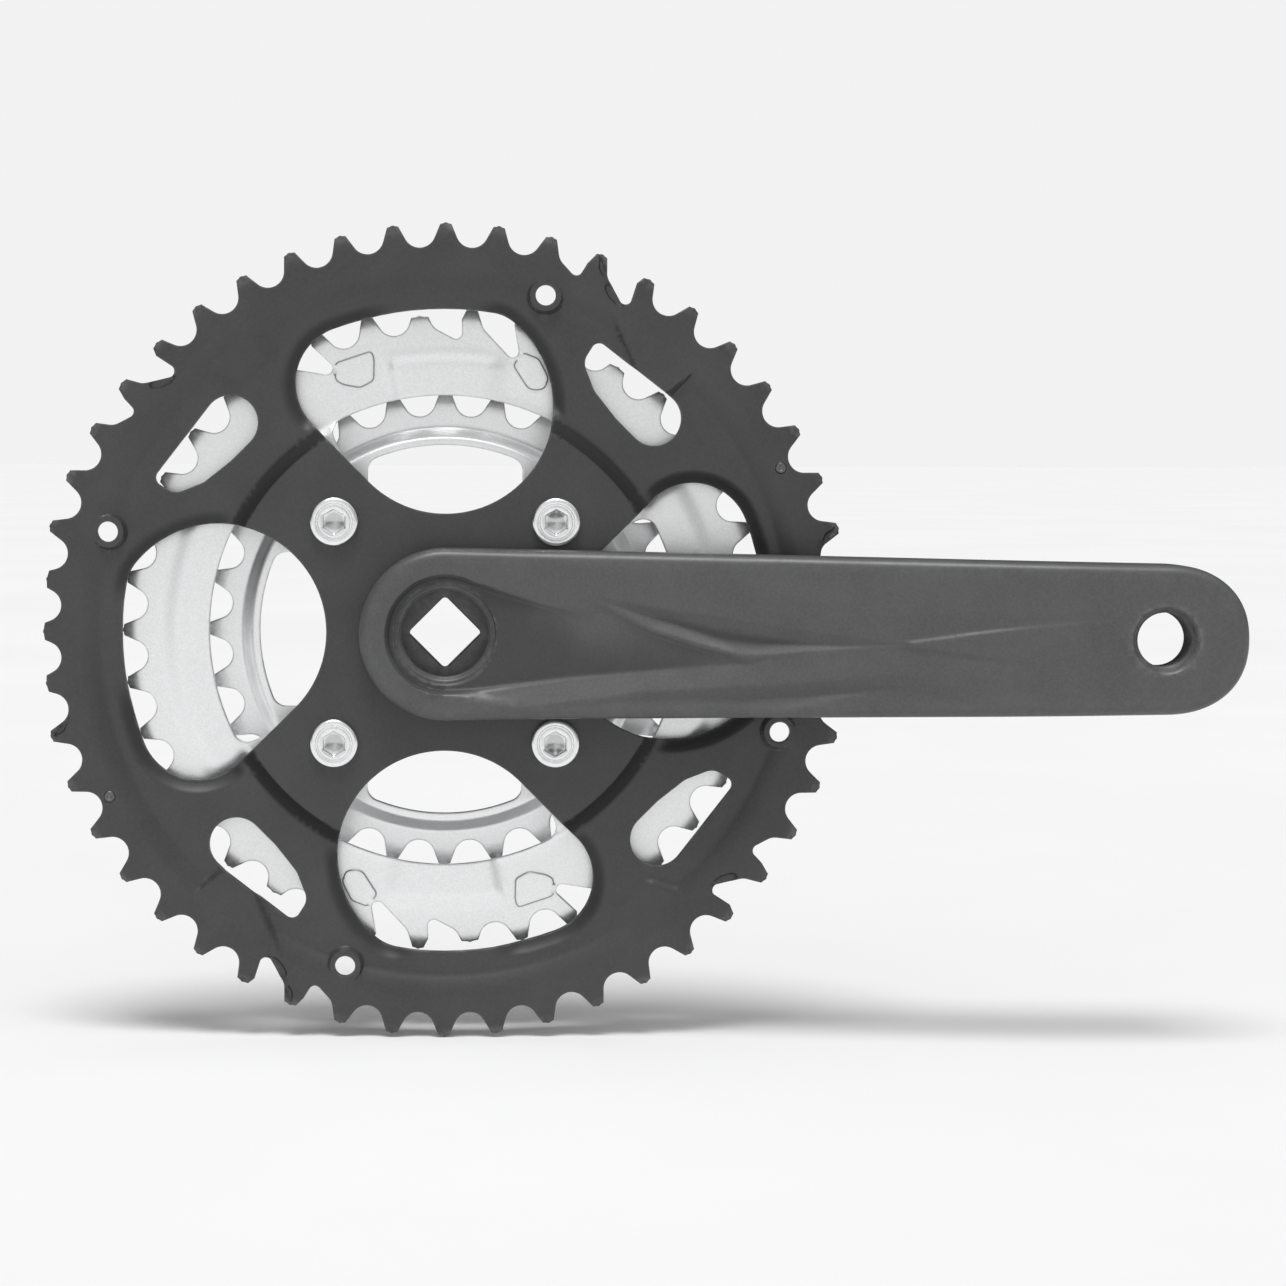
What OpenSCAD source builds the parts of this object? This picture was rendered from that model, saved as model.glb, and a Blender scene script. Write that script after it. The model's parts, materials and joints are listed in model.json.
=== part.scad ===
// Right-hand triple crankset: forged arm, three chainrings and the bolts that stack them.
// The spindle axis lies along Y. The outboard side faces -Y, the arm points along +X.
// The origin is on the spindle axis, at the inboard mouth of the square socket.
// Every piece is drawn in a face frame first: x right, y up, z outboard. upright() then
// stands that frame up, so face z becomes -Y and face y becomes +Z.

/* [Crank arm] */
// Distance from the spindle axis to the pedal axis
arm_length = 170; // [140:0.5:204]
// Radius of the hub end of the arm
hub_r = 20.7; // [19:0.1:24.8]
// Length of the hub along the spindle
hub_length = 32; // [28:0.5:38]
// Half height of the arm at the pedal axis
pedal_half_height = 17.8; // [14:0.1:21]
// Reach of the rounded end beyond the pedal axis
pedal_end_reach = 20.1; // [16:0.1:24]
// Thickness of the arm at the pedal axis
pedal_end_thickness = 13.5; // [11:0.5:16]
// How far the pedal face stands outboard of the hub face
arm_offset = 15.5; // [8:0.5:19]
// Rounding of the arm's long edges
arm_edge = 3.2; // [1:0.1:4]

/* [Spindle socket] */
// Across flats of the square at its small outboard end
square_flats = 12.6; // [12:0.05:13]
// Slope of each flat of the square
square_taper = 2; // [1:0.5:3]
// Length of the square
square_length = 20; // [17:0.5:22]
// Corner radius of the square
square_corner = 0.9; // [0.4:0.1:1.5]
// Minor radius of the extractor thread
extractor_r = 10.5; // [10:0.05:11.5]
// Radius of the step in front of the extractor thread
extractor_relief_r = 12.1; // [11.6:0.1:13]
// Depth of that step below the recess floor
extractor_relief_depth = 1.2; // [0.5:0.1:2]

/* [Face recess] */
// Radius of the shallow recess in the hub face
recess_r = 14; // [13.2:0.1:16]
// Depth of the recess
recess_depth = 3; // [1:0.1:4]
// Where the valley that runs out of the recess closes
valley_length = 74; // [40:1:100]

/* [Pedal hole] */
// Minor radius of the pedal thread
pedal_hole_r = 6.45; // [6:0.05:7.2]
// Radius of the chamfer at each end of the pedal hole
pedal_chamfer_r = 8; // [7.4:0.1:9.5]

/* [Chain] */
// Chain pitch
chain_pitch = 12.7; // [12.7:0.1:12.7]
// Radius of the curve that seats a chain roller
roller_seat_r = 3.92; // [3.9:0.01:4]
// Height of a tooth tip above the pitch circle
tooth_height = 2; // [1.5:0.1:2.6]

/* [Chainrings] */
// Teeth on the outer ring
outer_teeth = 48; // [42:1:58]
// Teeth on the middle ring
middle_teeth = 38; // [32:1:40]
// Teeth on the inner ring
inner_teeth = 28; // [26:1:30]
// Thickness of the outer ring's sheet
outer_sheet = 2.3; // [1.9:0.1:2.8]
// Thickness of the middle ring's sheet
middle_sheet = 2.2; // [1.8:0.1:2.6]
// Thickness of the inner ring's sheet
inner_sheet = 2.2; // [1.8:0.1:2.6]
// Distance between the tooth planes of neighbouring rings
ring_pitch = 8; // [7.4:0.1:8.4]
// How far the outer ring's centre plate stands outboard of its arms
joggle_depth = 2.6; // [1.5:0.1:3]
// How far the outer ring's toothed rim stands outboard of its arms
rim_rise = 1.8; // [1:0.1:2.4]
// How far the middle ring's web stands outboard of its teeth
middle_dish = 1.2; // [0.6:0.1:1.8]
// How far the inner ring's web stands outboard of its teeth
inner_dish = 3.4; // [2.8:0.1:3.8]

/* [Outer ring openings] */
// Radius of the narrow end of each large window, seen from the spindle
window_inner_r = 28.8; // [28:0.1:31]
// Width of the rim left outside the windows, down from the tooth roots
window_rim_w = 14.8; // [13:0.1:18]
// Radius of the tight corner of each large window
window_corner_r = 14; // [10:0.5:16]
// Angle of that corner from the window's middle line
window_corner_angle = 20.4; // [17:0.1:22]
// Radius of the gentle corner of each large window
window_soft_r = 10; // [7:0.5:14]
// Radius of the curve at each large window's narrow end
window_round_r = 26.2; // [24:0.1:27]
// Radius of the chain-guard screw holes
guard_hole_r = 2.45; // [2:0.05:2.8]
// Radius of the pressed pad around each screw hole
guard_pad_r = 4.3; // [4:0.1:5]
// How far the circle of chain-guard holes lies inside the tooth roots
guard_inset = 8; // [7.6:0.1:9]

/* [Chainring bolts] */
// Diameter of the circle of chainring bolts
bolt_circle = 76; // [72:0.5:80]
// Shank radius of a bolt
bolt_r = 4; // [3.4:0.1:4.4]
// Head radius of a bolt
bolt_head_r = 5.9; // [5.6:0.1:7]
// Head height of a bolt
bolt_head_h = 2.3; // [1.8:0.1:2.8]
// Across flats of the hex socket
hex_flats = 5; // [4:0.5:6]
// Depth of the hex socket
hex_depth = 3.2; // [2:0.1:4]
// Wall of the sleeve nut around the bolt
sleeve_wall = 1; // [0.8:0.1:1.4]
// How far the nut's flange reaches past its sleeve
flange_lip = 1.8; // [1.2:0.1:2.2]
// Thickness of the nut's flange
flange_h = 1.5; // [1:0.1:2]
// How far a spacer reaches past the sleeve
spacer_lip = 2; // [1.5:0.1:2.4]

/* [Shift pins] */
// Radius of a shift pin
pin_r = 1.4; // [1.1:0.1:1.7]
// Radius of its riveted head behind the rim
pin_head_r = 2.1; // [1.8:0.1:2.6]
// Distance of the pins below the tooth roots
pin_inset = 2.4; // [2.2:0.1:3.2]

/* [Fits] */
// Gap between a sleeve nut and the holes that it passes through
sleeve_play = 0.1; // [0.05:0.01:0.2]
// Gap between a bolt's thread and the nut's
thread_play = 0.05; // [0.02:0.01:0.1]

/* [Hidden] */

$fn = 64;
overcut = 1;                    // how far a cutter runs past the face it cuts
arm_paint = [0.25, 0.26, 0.27];
ring_paint = [0.13, 0.13, 0.14];
bright_steel = [0.78, 0.79, 0.80];
bolt_chrome = [0.85, 0.85, 0.86];

// Heights along the spindle, outboard positive
plate_drop = 11.55;                         // the centre plate lies this far below the hub face
plate_front = hub_length - plate_drop;      // front of the outer ring's centre plate
arms_front = plate_front - joggle_depth;    // front of its arms
rim_front = arms_front + rim_rise;          // front of its toothed rim
outer_plane = rim_front - outer_sheet/2;    // middle of the outer teeth
middle_plane = outer_plane - ring_pitch;
inner_plane = middle_plane - ring_pitch;
middle_web_front = middle_plane + middle_sheet/2 + middle_dish;
inner_web_front = inner_plane + inner_sheet/2 + inner_dish;
pedal_face = hub_length + arm_offset;

// Radii that follow from the teeth
function pitch_r(teeth) = chain_pitch / (2*sin(180/teeth));
function root_r(teeth) = pitch_r(teeth) - roller_seat_r;
outer_root = root_r(outer_teeth);
middle_root = root_r(middle_teeth);
inner_root = root_r(inner_teeth);

// Outer ring: bends and edges, from the spindle outwards
boss_shoulder = 3.2;
joggle_inset = 38.4;                        // from the tooth roots in to the joggle
joggle_w = 3.1;
rise_inset = 9.4;                           // from the tooth roots in to the rim's rise
rise_w = 4.3;
boss_r = hub_r - boss_shoulder;             // boss that the ring is pressed on
joggle_in = outer_root - joggle_inset;      // the joggle falls between these two radii
joggle_out = joggle_in + joggle_w;
rise_in = outer_root - rise_inset;          // the rim rises between these two radii
rise_out = rise_in + rise_w;
guard_circle_r = outer_root - guard_inset;
pin_circle_r = outer_root - pin_inset;
guard_angles = [73.5 : 90 : 343.5];
pin_angles = [26.25, 206.25];
bolt_angles = [45, 135, 225, 315];
window_angles = [0 : 90 : 270];

// Middle and inner ring: widths of the flat rim, the cone of the dish and the web inside it
middle_rim_w = 4;
middle_cone_w = 4.3;
middle_web_w = 7.1;
inner_rim_w = 2.8;
inner_cone_w = 3;
inner_web_w = 1.5;
middle_cone_out = middle_root - middle_rim_w;
middle_cone_in = middle_cone_out - middle_cone_w;
middle_window_r = middle_cone_in - middle_web_w;
inner_cone_out = inner_root - inner_rim_w;
inner_cone_in = inner_cone_out - inner_cone_w;
inner_window_r = inner_cone_in - inner_web_w;
middle_tab_spread = 18.7;                   // half the angle that a tab's root fillets span
inner_tab_spread = 23.3;
tab_fillet = 3.5;                           // rounding where a tab meets the web
bolt_pcr = bolt_circle/2;

sleeve_r = bolt_r + sleeve_wall;
sleeve_hole_r = sleeve_r + sleeve_play;
tab_wall = 2.8;
tab_r = sleeve_hole_r + tab_wall;           // round of a bolt tab about its bolt
spacer_r = sleeve_r + spacer_lip;
pin_stand = 0.25;                           // a pin stands this proud of the rim
pin_head_h = 1;

// ---- helpers -------------------------------------------------------------------------

module upright() {
  rotate([90, 0, 0]) children();
}

// Point at radius r and angle a
function polar(r, a) = [r*cos(a), r*sin(a)];

// Point p turned by angle a about the spindle
function rotated(p, a) = [p.x*cos(a) - p.y*sin(a), p.x*sin(a) + p.y*cos(a)];

// Points on an arc about c, from angle a0 to a1, one every step degrees or less
function arc(c, r, a0, a1, step = 6) =
  let (n = max(1, ceil(abs(a1 - a0)/step)))
  [for (i = [0 : n]) c + polar(r, a0 + (a1 - a0)*i/n)];

// Direction of the outward normal where a belt leaves circle p for circle q, each [x, y, r]
function belt_normal(p, q) =
  let (d = [q.x - p.x, q.y - p.y], c = (p.z - q.z)/norm(d))
  atan2(d.y, d.x) - acos(max(-1, min(1, c)));

// Outline of a belt drawn round circles that are listed counter-clockwise
function belt(circles, step = 6) =
  let (n = len(circles))
  [for (i = [0 : n - 1])
    let (
      here = circles[i],
      a0 = belt_normal(circles[(i + n - 1) % n], here),
      turn = belt_normal(here, circles[(i + 1) % n]) - a0,
      a1 = a0 + turn - 360*floor(turn/360)
    )
    each arc([here.x, here.y], here.z, a0, a1, step)];

// Sheet of thickness t spun round the spindle; its front face runs through [r, z] points
module spun_sheet(front, t) {
  back = [for (i = [len(front) - 1 : -1 : 0]) [front[i].x, front[i].y - t]];
  rotate_extrude($fn = 180) polygon(concat(front, back));
}

// ---- teeth ---------------------------------------------------------------------------

seat_angle = 58;                // the roller seat covers this much each side of its middle
seat_step = 20;                 // one point of the seat every so many degrees
shoulder_drop = 0.6;            // a tooth's tip starts to round this far below the tip
tip_half_w = 0.45;              // half width of the tip
gate_floor_r = 1.5;             // rounding of a shift gate's floor

// Where the straight flank that leaves the roller seat ends, for a tip this high
function shoulder(teeth, tip) =
  let (
    r = pitch_r(teeth) + tip - shoulder_drop,
    rise = tip - shoulder_drop + roller_seat_r*cos(seat_angle)
  )
  [r, roller_seat_r*sin(seat_angle) + rise/tan(seat_angle)];

// The gap between two teeth, centred on angle a, from the lower tooth's tip to the next one's
function tooth_gap(teeth, a, low_tip, high_tip) =
  let (
    half = 180/teeth,
    low = shoulder(teeth, low_tip),
    seat = arc([0, 0], roller_seat_r, -seat_angle, seat_angle, seat_step)
  )
  concat(
    [rotated([pitch_r(teeth) + low_tip, tip_half_w], a - half)],
    [rotated([low.x, -low.y], a)],
    [for (s = seat) rotated([pitch_r(teeth) - s.x, s.y], a)],
    [rotated(shoulder(teeth, high_tip), a)],
    [rotated([pitch_r(teeth) + high_tip, -tip_half_w], a + half)]
  );

// Height of a tooth's tip above the pitch circle; the teeth in short_ones are cut down
function tip_height(k, short_ones) =
  tooth_height - (len([for (s = short_ones) if (s == k) s]) > 0 ? short_by : 0);

// Outline of a toothed disc whose first tooth points along x
function tooth_outline(teeth, short_ones) =
  [for (k = [0 : teeth - 1])
    each tooth_gap(
      teeth, (k + 0.5)*360/teeth,
      tip_height(k, short_ones), tip_height((k + 1) % teeth, short_ones)
    )];

// A shift gate cuts the gap at angle a deeper, beside the lower tooth, with a slanting floor
module gate(teeth, a, depth, lean) {
  seat = polar(pitch_r(teeth), a);
  floor_at = polar(root_r(teeth) - depth + gate_floor_r, a - lean);
  polygon(belt([
    [seat.x, seat.y, roller_seat_r],
    [floor_at.x, floor_at.y, gate_floor_r]
  ], 15));
}

// A flat toothed disc with its shift gates, each [angle, depth, lean]
module toothed_disc(teeth, t, short_ones, gates) {
  difference() {
    linear_extrude(t) polygon(tooth_outline(teeth, short_ones));
    for (g = gates)
      translate([0, 0, -overcut])
        linear_extrude(t + 2*overcut) gate(teeth, g[0], g[1], g[2]);
  }
}

// ---- crank arm -----------------------------------------------------------------------

hub_steps = 9;
shaft_steps = 16;
end_steps = 9;
end_power = 2.25;               // how square the pedal end's round is
ramp_ease = 0.2;                // share of the ramp that eases in and out
front_ramp_start = 14;
back_ramp_start = hub_r;
ramp_end = arm_length - 14;
seat_r = hub_r - 1.2;           // flat seat for the outer ring's centre plate
boss_chamfer = 1;
swage_lip = 1;                  // the boss is swaged over the plate by this much
swage_h = 1.4;
pocket_gap = 0.4;               // room kept round a bolt head under the arm

// Rises from 0 to 1 as u does, straight between two short curves
function ramp(u) =
  let (b = ramp_ease, k = 2*b*(1 - b))
  u <= 0 ? 0 : u >= 1 ? 1 : u < b ? u*u/k : u > 1 - b ? 1 - (1 - u)*(1 - u)/k : (u - b/2)/(1 - b);

function arm_front(x) =
  hub_length + arm_offset*ramp((x - front_ramp_start)/(ramp_end - front_ramp_start));
function arm_back(x) =
  plate_front + (pedal_face - pedal_end_thickness - plate_front)
    *ramp((x - back_ramp_start)/(ramp_end - back_ramp_start));

// Upper edge of the arm, drawn in by d, from the pedal end's tip to the hub end's
function arm_edge_points(d) =
  concat(
    [for (i = [0 : end_steps - 1])
      let (a = 90*i/end_steps)
      [arm_length + (pedal_end_reach - d)*pow(cos(a), 2/end_power),
       (pedal_half_height - d)*pow(sin(a), 2/end_power)]],
    [for (i = [0 : shaft_steps - 1])
      let (u = i/shaft_steps)
      [arm_length*(1 - u), pedal_half_height - d + (hub_r - pedal_half_height)*u]],
    [for (i = [0 : hub_steps]) polar(hub_r - d, 90 + 90*i/hub_steps)]
  );

// The whole outline, counter-clockwise
function arm_outline(d) =
  let (e = arm_edge_points(d), m = len(e))
  concat(e, [for (i = [m - 2 : -1 : 1]) [e[i].x, -e[i].y]]);

// The arm without its holes: outlines stacked from the back to the front, edges drawn in
module arm_blank() {
  e = arm_edge;
  soft = 0.3*arm_edge;
  layers = [[e, 0, 0], [soft, 0, soft], [0, 0, e], [0, 1, e], [soft, 1, soft], [e, 1, 0]];
  rings = [for (l = layers) [for (p = arm_outline(l[0]))
    [p.x, p.y, l[1] == 0 ? arm_back(p.x) + l[2] : arm_front(p.x) - l[2]]]];
  n = len(rings[0]);
  m = n/2 + 1;
  top = n*(len(layers) - 1);
  sides = [for (j = [0 : len(layers) - 2], i = [0 : n - 1])
    let (a = j*n + i, b = j*n + (i + 1) % n)
    each [[a, a + n, b], [b, a + n, b + n]]];
  caps = [for (i = [0 : m - 2])
    let (p = i, q = i + 1, r = (n - q) % n, s = (n - p) % n)
    each concat(
      q == r ? [] : [[p, q, r], [top + r, top + q, top + p]],
      p == s ? [] : [[p, r, s], [top + s, top + r, top + p]]
    )];
  polyhedron([for (ring = rings) each ring], concat(sides, caps));
}

// The square of the socket, wider towards the inboard mouth, standing on a corner
module square_socket() {
  small = square_flats/2;
  grow = tan(square_taper);
  mouth = small + (square_length + overcut)*grow;
  tip = small - overcut*grow;
  side = [[-overcut, -mouth], [square_length + overcut, -tip],
          [square_length + overcut, tip], [-overcut, mouth]];
  across = 2*mouth + overcut;
  corner_r = sqrt(2)*small - (sqrt(2) - 1)*square_corner;
  intersection() {
    rotate([0, 0, 45]) intersection() {
      rotate([0, -90, 0]) translate([0, 0, -across/2])
        linear_extrude(across) polygon(side);
      rotate([0, 0, 90]) rotate([0, -90, 0]) translate([0, 0, -across/2])
        linear_extrude(across) polygon(side);
    }
    translate([0, 0, -overcut])
      cylinder(h = square_length + 2*overcut,
               r1 = corner_r + (square_length + overcut)*grow*sqrt(2),
               r2 = corner_r - overcut*grow*sqrt(2));
  }
}

// Corners of the valley, as shares of its length and of the recess's radius
valley_corners = [
  [0, -1], [0.16, -0.9], [0.45, -0.66], [1, -0.33],
  [0.66, 0.09], [0.33, 0.5], [0.1, 0.87], [0, 1]
];

// The valley that runs from the recess along the arm and closes towards the pedal
module valley() {
  floor_z = hub_length - recess_depth;
  slope = atan((arm_front(valley_length) - floor_z)/valley_length);
  translate([0, 0, floor_z]) rotate([0, -slope, 0])
    linear_extrude(arm_offset + recess_depth)
      polygon([for (c = valley_corners) [c.x*valley_length, c.y*recess_r]]);
}

// Room in the arm's back for the bolt heads, should the hub reach over them
module bolt_pockets() {
  for (a = bolt_angles) rotate([0, 0, a]) translate([bolt_pcr, 0, plate_front - overcut])
    cylinder(h = bolt_head_h + pocket_gap + overcut, r = bolt_head_r + pocket_gap);
}

module hub_bores() {
  recess_floor = hub_length - recess_depth;
  square_socket();
  translate([0, 0, square_length])
    cylinder(h = hub_length, r = extractor_r);
  translate([0, 0, recess_floor - extractor_relief_depth])
    cylinder(h = hub_length, r = extractor_relief_r);
  translate([0, 0, recess_floor])
    cylinder(h = hub_length, r = recess_r);
}

module pedal_bore() {
  chamfer = pedal_chamfer_r - pedal_hole_r;
  back = pedal_face - pedal_end_thickness;
  translate([arm_length, 0, back - overcut])
    cylinder(h = pedal_end_thickness + 2*overcut, r = pedal_hole_r);
  translate([arm_length, 0, pedal_face - chamfer])
    cylinder(h = chamfer + overcut, r1 = pedal_hole_r, r2 = pedal_chamfer_r + overcut);
  translate([arm_length, 0, back - overcut])
    cylinder(h = chamfer + overcut, r1 = pedal_chamfer_r + overcut, r2 = pedal_hole_r);
}

module hub_boss() {
  plate_back = plate_front - outer_sheet;
  translate([0, 0, plate_front])
    cylinder(h = arm_edge + 1, r = seat_r);
  translate([0, 0, boss_chamfer])
    cylinder(h = plate_front - boss_chamfer + 1, r = boss_r);
  cylinder(h = boss_chamfer, r1 = boss_r - boss_chamfer, r2 = boss_r);
  translate([0, 0, plate_back - swage_h])
    cylinder(h = swage_h, r = boss_r + swage_lip);
}

module crank_arm() {
  color(arm_paint) upright() difference() {
    union() {
      arm_blank();
      hub_boss();
    }
    hub_bores();
    valley();
    pedal_bore();
    bolt_pockets();
  }
}

// ---- chainrings ----------------------------------------------------------------------

short_by = 1.7;                 // how much a cut-down tooth loses
outer_gate = [2.7, 2];          // depth and lean of each kind of shift gate
outer_half_gate = [1.2, 1];
middle_gate = [3.7, 4];
middle_half_gate = [1.6, 2];
outer_gate_gaps = [8, 18, 32, 42];          // gaps that the gates are in, counted from x
outer_half_gaps = [9, 19, 33, 43];
middle_gate_gaps = [8, 12, 27, 31];
middle_half_gaps = [9, 28];
outer_short = [outer_teeth/2 - 1, outer_teeth/2, outer_teeth/2 + 1];
middle_short = [6, 10, 25, 29];
seam = 0.9;                     // overlap of the flat rim and the dished sheet
pad_proud = 0.15;               // a screw hole's pad stands this far behind the sheet

// Angle of the gap between tooth k and the next
function gap_angle(teeth, k) = (k + 0.5)*360/teeth;

// Shift gates in the listed gaps; shape is their [depth, lean]
function gates(teeth, gaps, shape) = [for (k = gaps) [gap_angle(teeth, k), shape[0], shape[1]]];

outer_gates = concat(
  gates(outer_teeth, outer_gate_gaps, outer_gate),
  gates(outer_teeth, outer_half_gaps, outer_half_gate)
);
middle_gates = concat(
  gates(middle_teeth, middle_gate_gaps, middle_gate),
  gates(middle_teeth, middle_half_gaps, middle_half_gate)
);

// Outline of one large window of the outer ring; its middle line is x
window_outer_r = outer_root - window_rim_w;
function large_window() =
  let (
    narrow_at = window_inner_r + window_round_r,
    soft_at = window_outer_r - window_soft_r,
    apart = window_round_r - window_soft_r,
    lean = acos((soft_at*soft_at + narrow_at*narrow_at - apart*apart)/(2*soft_at*narrow_at)),
    soft = polar(soft_at, -lean),
    tight = polar(window_outer_r - window_corner_r, window_corner_angle)
  )
  belt([
    [0, 0, window_outer_r],
    [tight.x, tight.y, window_corner_r],
    [narrow_at, 0, window_round_r],
    [soft.x, soft.y, window_soft_r]
  ]);

// Outline of one small window, a drop between two large ones; its middle line is x
drop_angle = 52.3;
drop_over = 0.4;                // it reaches this much further out than the large ones
drop_rounds = [[6.6, -8.3], [2, 12.2], [4, 10], [5.3, 5.3], [6.2, -2]];  // radius, place along it
function small_window() =
  let (edge = window_outer_r + drop_over)
  belt([for (d = drop_rounds) [edge - d[0], d[1], d[0]]]);

module outer_chainring() {
  t = outer_sheet;
  join = rise_out + seam;
  color(ring_paint) upright() difference() {
    union() {
      translate([0, 0, rim_front - t]) difference() {
        toothed_disc(outer_teeth, t, outer_short, outer_gates);
        translate([0, 0, -overcut]) cylinder(h = t + 2*overcut, r = join, $fn = 180);
      }
      spun_sheet([[boss_r, plate_front], [joggle_in, plate_front], [joggle_out, arms_front],
                  [rise_in, arms_front], [rise_out, rim_front], [join, rim_front]], t);
      for (a = guard_angles)
        rotate([0, 0, a]) translate([guard_circle_r, 0, arms_front - t - pad_proud])
          cylinder(h = rim_front - arms_front + t + pad_proud, r = guard_pad_r);
    }
    translate([0, 0, arms_front - t - overcut])
      linear_extrude(plate_front - arms_front + t + 2*overcut) {
        for (a = window_angles) rotate(a) polygon(large_window());
        for (a = window_angles) rotate(a + drop_angle) polygon(small_window());
      }
    for (a = guard_angles) rotate([0, 0, a]) translate([guard_circle_r, 0, arms_front - t - overcut])
      cylinder(h = t + rim_rise + 2*overcut, r = guard_hole_r);
    for (a = pin_angles) rotate([0, 0, a]) translate([pin_circle_r, 0, rim_front - t - overcut])
      cylinder(h = t + 2*overcut, r = pin_r);
    bolt_holes(plate_front - t, t);
  }
}

// Round holes through a ring's sheet for the sleeve nuts
module bolt_holes(z, t) {
  for (a = bolt_angles) rotate([0, 0, a]) translate([bolt_pcr, 0, z - overcut])
    cylinder(h = t + 2*overcut, r = sleeve_hole_r);
}

// Outline of a bolt tab on the middle line x, from the web's edge in to the bolt
function bolt_tab(edge_r, spread) =
  let (
    root = polar(edge_r - tab_fillet, spread),
    to_root = [root.x - bolt_pcr, root.y],
    n = atan2(to_root.y, to_root.x) + acos((tab_r + tab_fillet)/norm(to_root)),
    upper = arc(root, tab_fillet, spread, n - 180)
  )
  concat(
    upper,
    arc([bolt_pcr, 0], tab_r, n, 360 - n),
    [for (i = [len(upper) - 1 : -1 : 0]) [upper[i].x, -upper[i].y]],
    arc([0, 0], edge_r + seam, -spread, spread)
  );

// A ring that hangs on four bolt tabs: flat teeth, a cone, and a web inboard of them
module tabbed_ring(teeth, t, plane, web_front, cone_in, cone_out, edge_r, spread, short_ones, gate_list) {
  front = plane + t/2;
  upright() difference() {
    union() {
      translate([0, 0, front - t]) difference() {
        toothed_disc(teeth, t, short_ones, gate_list);
        translate([0, 0, -overcut]) cylinder(h = t + 2*overcut, r = cone_out, $fn = 180);
      }
      spun_sheet([[edge_r, web_front], [cone_in, web_front], [cone_out, front]], t);
      translate([0, 0, web_front - t]) linear_extrude(t)
        for (a = bolt_angles) rotate(a) polygon(bolt_tab(edge_r, spread));
    }
    bolt_holes(web_front - t, t);
  }
}

module middle_chainring() {
  color(bright_steel) tabbed_ring(
    middle_teeth, middle_sheet, middle_plane, middle_web_front,
    middle_cone_in, middle_cone_out, middle_window_r, middle_tab_spread,
    middle_short, middle_gates
  );
}

module inner_chainring() {
  color(bright_steel) tabbed_ring(
    inner_teeth, inner_sheet, inner_plane, inner_web_front,
    inner_cone_in, inner_cone_out, inner_window_r, inner_tab_spread,
    [], []
  );
}

// ---- fasteners -----------------------------------------------------------------------

head_round = 0.7;               // the bolt head's rim is rounded by this much
groove_r = 4;                   // ring groove turned in the bolt head
groove_w = 0.5;
groove_depth = 0.3;
nut_recess = 0.6;               // the sleeve ends this far below the centre plate's front
slot_w = 1.8;                   // slots in the nut's flange for a pin wrench
slot_depth = 0.8;
bolt_reach = 1;                 // the bolt's tip stops this far short of the nut's flange

// Places a piece at chainring bolt number i, counted from 1
module at_bolt(i) {
  upright() rotate([0, 0, bolt_angles[i - 1]]) translate([bolt_pcr, 0, 0])
    rotate([0, 0, -bolt_angles[i - 1]]) children();
}

module chainring_bolt() {
  flange_back = inner_web_front - inner_sheet - flange_h;
  shank_end = flange_back + flange_h + bolt_reach;
  difference() {
    union() {
      translate([0, 0, plate_front]) rotate_extrude() polygon(concat(
        [[0, 0], [bolt_head_r, 0]],
        arc([bolt_head_r - head_round, bolt_head_h - head_round], head_round, 0, 90, 30),
        [[groove_r + groove_w, bolt_head_h], [groove_r + groove_w/2, bolt_head_h - groove_depth],
         [groove_r, bolt_head_h], [0, bolt_head_h]]
      ));
      translate([0, 0, shank_end])
        cylinder(h = plate_front - shank_end + head_round, r = bolt_r - thread_play);
    }
    translate([0, 0, plate_front + bolt_head_h - hex_depth]) rotate([0, 0, 90])
      cylinder(h = hex_depth + overcut, r = hex_flats/2/cos(30), $fn = 6);
  }
}

module sleeve_nut() {
  seat = inner_web_front - inner_sheet;
  top = plate_front - nut_recess;
  difference() {
    union() {
      translate([0, 0, seat - flange_h]) cylinder(h = flange_h, r = sleeve_r + flange_lip);
      translate([0, 0, seat - flange_h]) cylinder(h = top - seat + flange_h, r = sleeve_r);
    }
    translate([0, 0, seat - flange_h - overcut])
      cylinder(h = top - seat + flange_h + 2*overcut, r = bolt_r);
    translate([-bolt_head_r - flange_lip, -slot_w/2, seat - flange_h - overcut])
      cube([2*(bolt_head_r + flange_lip), slot_w, slot_depth + overcut]);
  }
}

// A spacer between two rings, from height low to height high
module spacer(low, high) {
  translate([0, 0, low]) difference() {
    cylinder(h = high - low, r = spacer_r);
    translate([0, 0, -overcut]) cylinder(h = high - low + 2*overcut, r = sleeve_hole_r);
  }
}

module shift_pin(a) {
  back = rim_front - outer_sheet;
  color(bright_steel) upright() rotate([0, 0, a]) translate([pin_circle_r, 0, 0]) {
    translate([0, 0, back]) cylinder(h = outer_sheet + pin_stand, r = pin_r);
    translate([0, 0, back - pin_head_h]) cylinder(h = pin_head_h, r = pin_head_r);
  }
}

// ---- drawing -------------------------------------------------------------------------

crank_arm();
outer_chainring();
middle_chainring();
inner_chainring();
for (i = [1 : 4]) {
  color(bolt_chrome) at_bolt(i) chainring_bolt();
  color(bright_steel) at_bolt(i) sleeve_nut();
  color(bright_steel) at_bolt(i) spacer(middle_web_front, plate_front - outer_sheet);
  color(bright_steel) at_bolt(i) spacer(inner_web_front, middle_web_front - middle_sheet);
}
for (i = [1 : 2])
  shift_pin(pin_angles[i - 1]);
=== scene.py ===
"""Right-hand triple crankset: a forged arm, three chainrings and the bolts that stack them.

Shapes are worked out in a face frame in millimetres: x right, y up, z outboard. placed() turns
that into the CAD's frame in metres, where the outboard side faces -Y and up is +Z.
"""

import json
import math

import bmesh
import bpy
import numpy as np
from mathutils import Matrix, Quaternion, Vector
from mathutils.geometry import delaunay_2d_cdt
from mathutils.kdtree import KDTree


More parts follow.
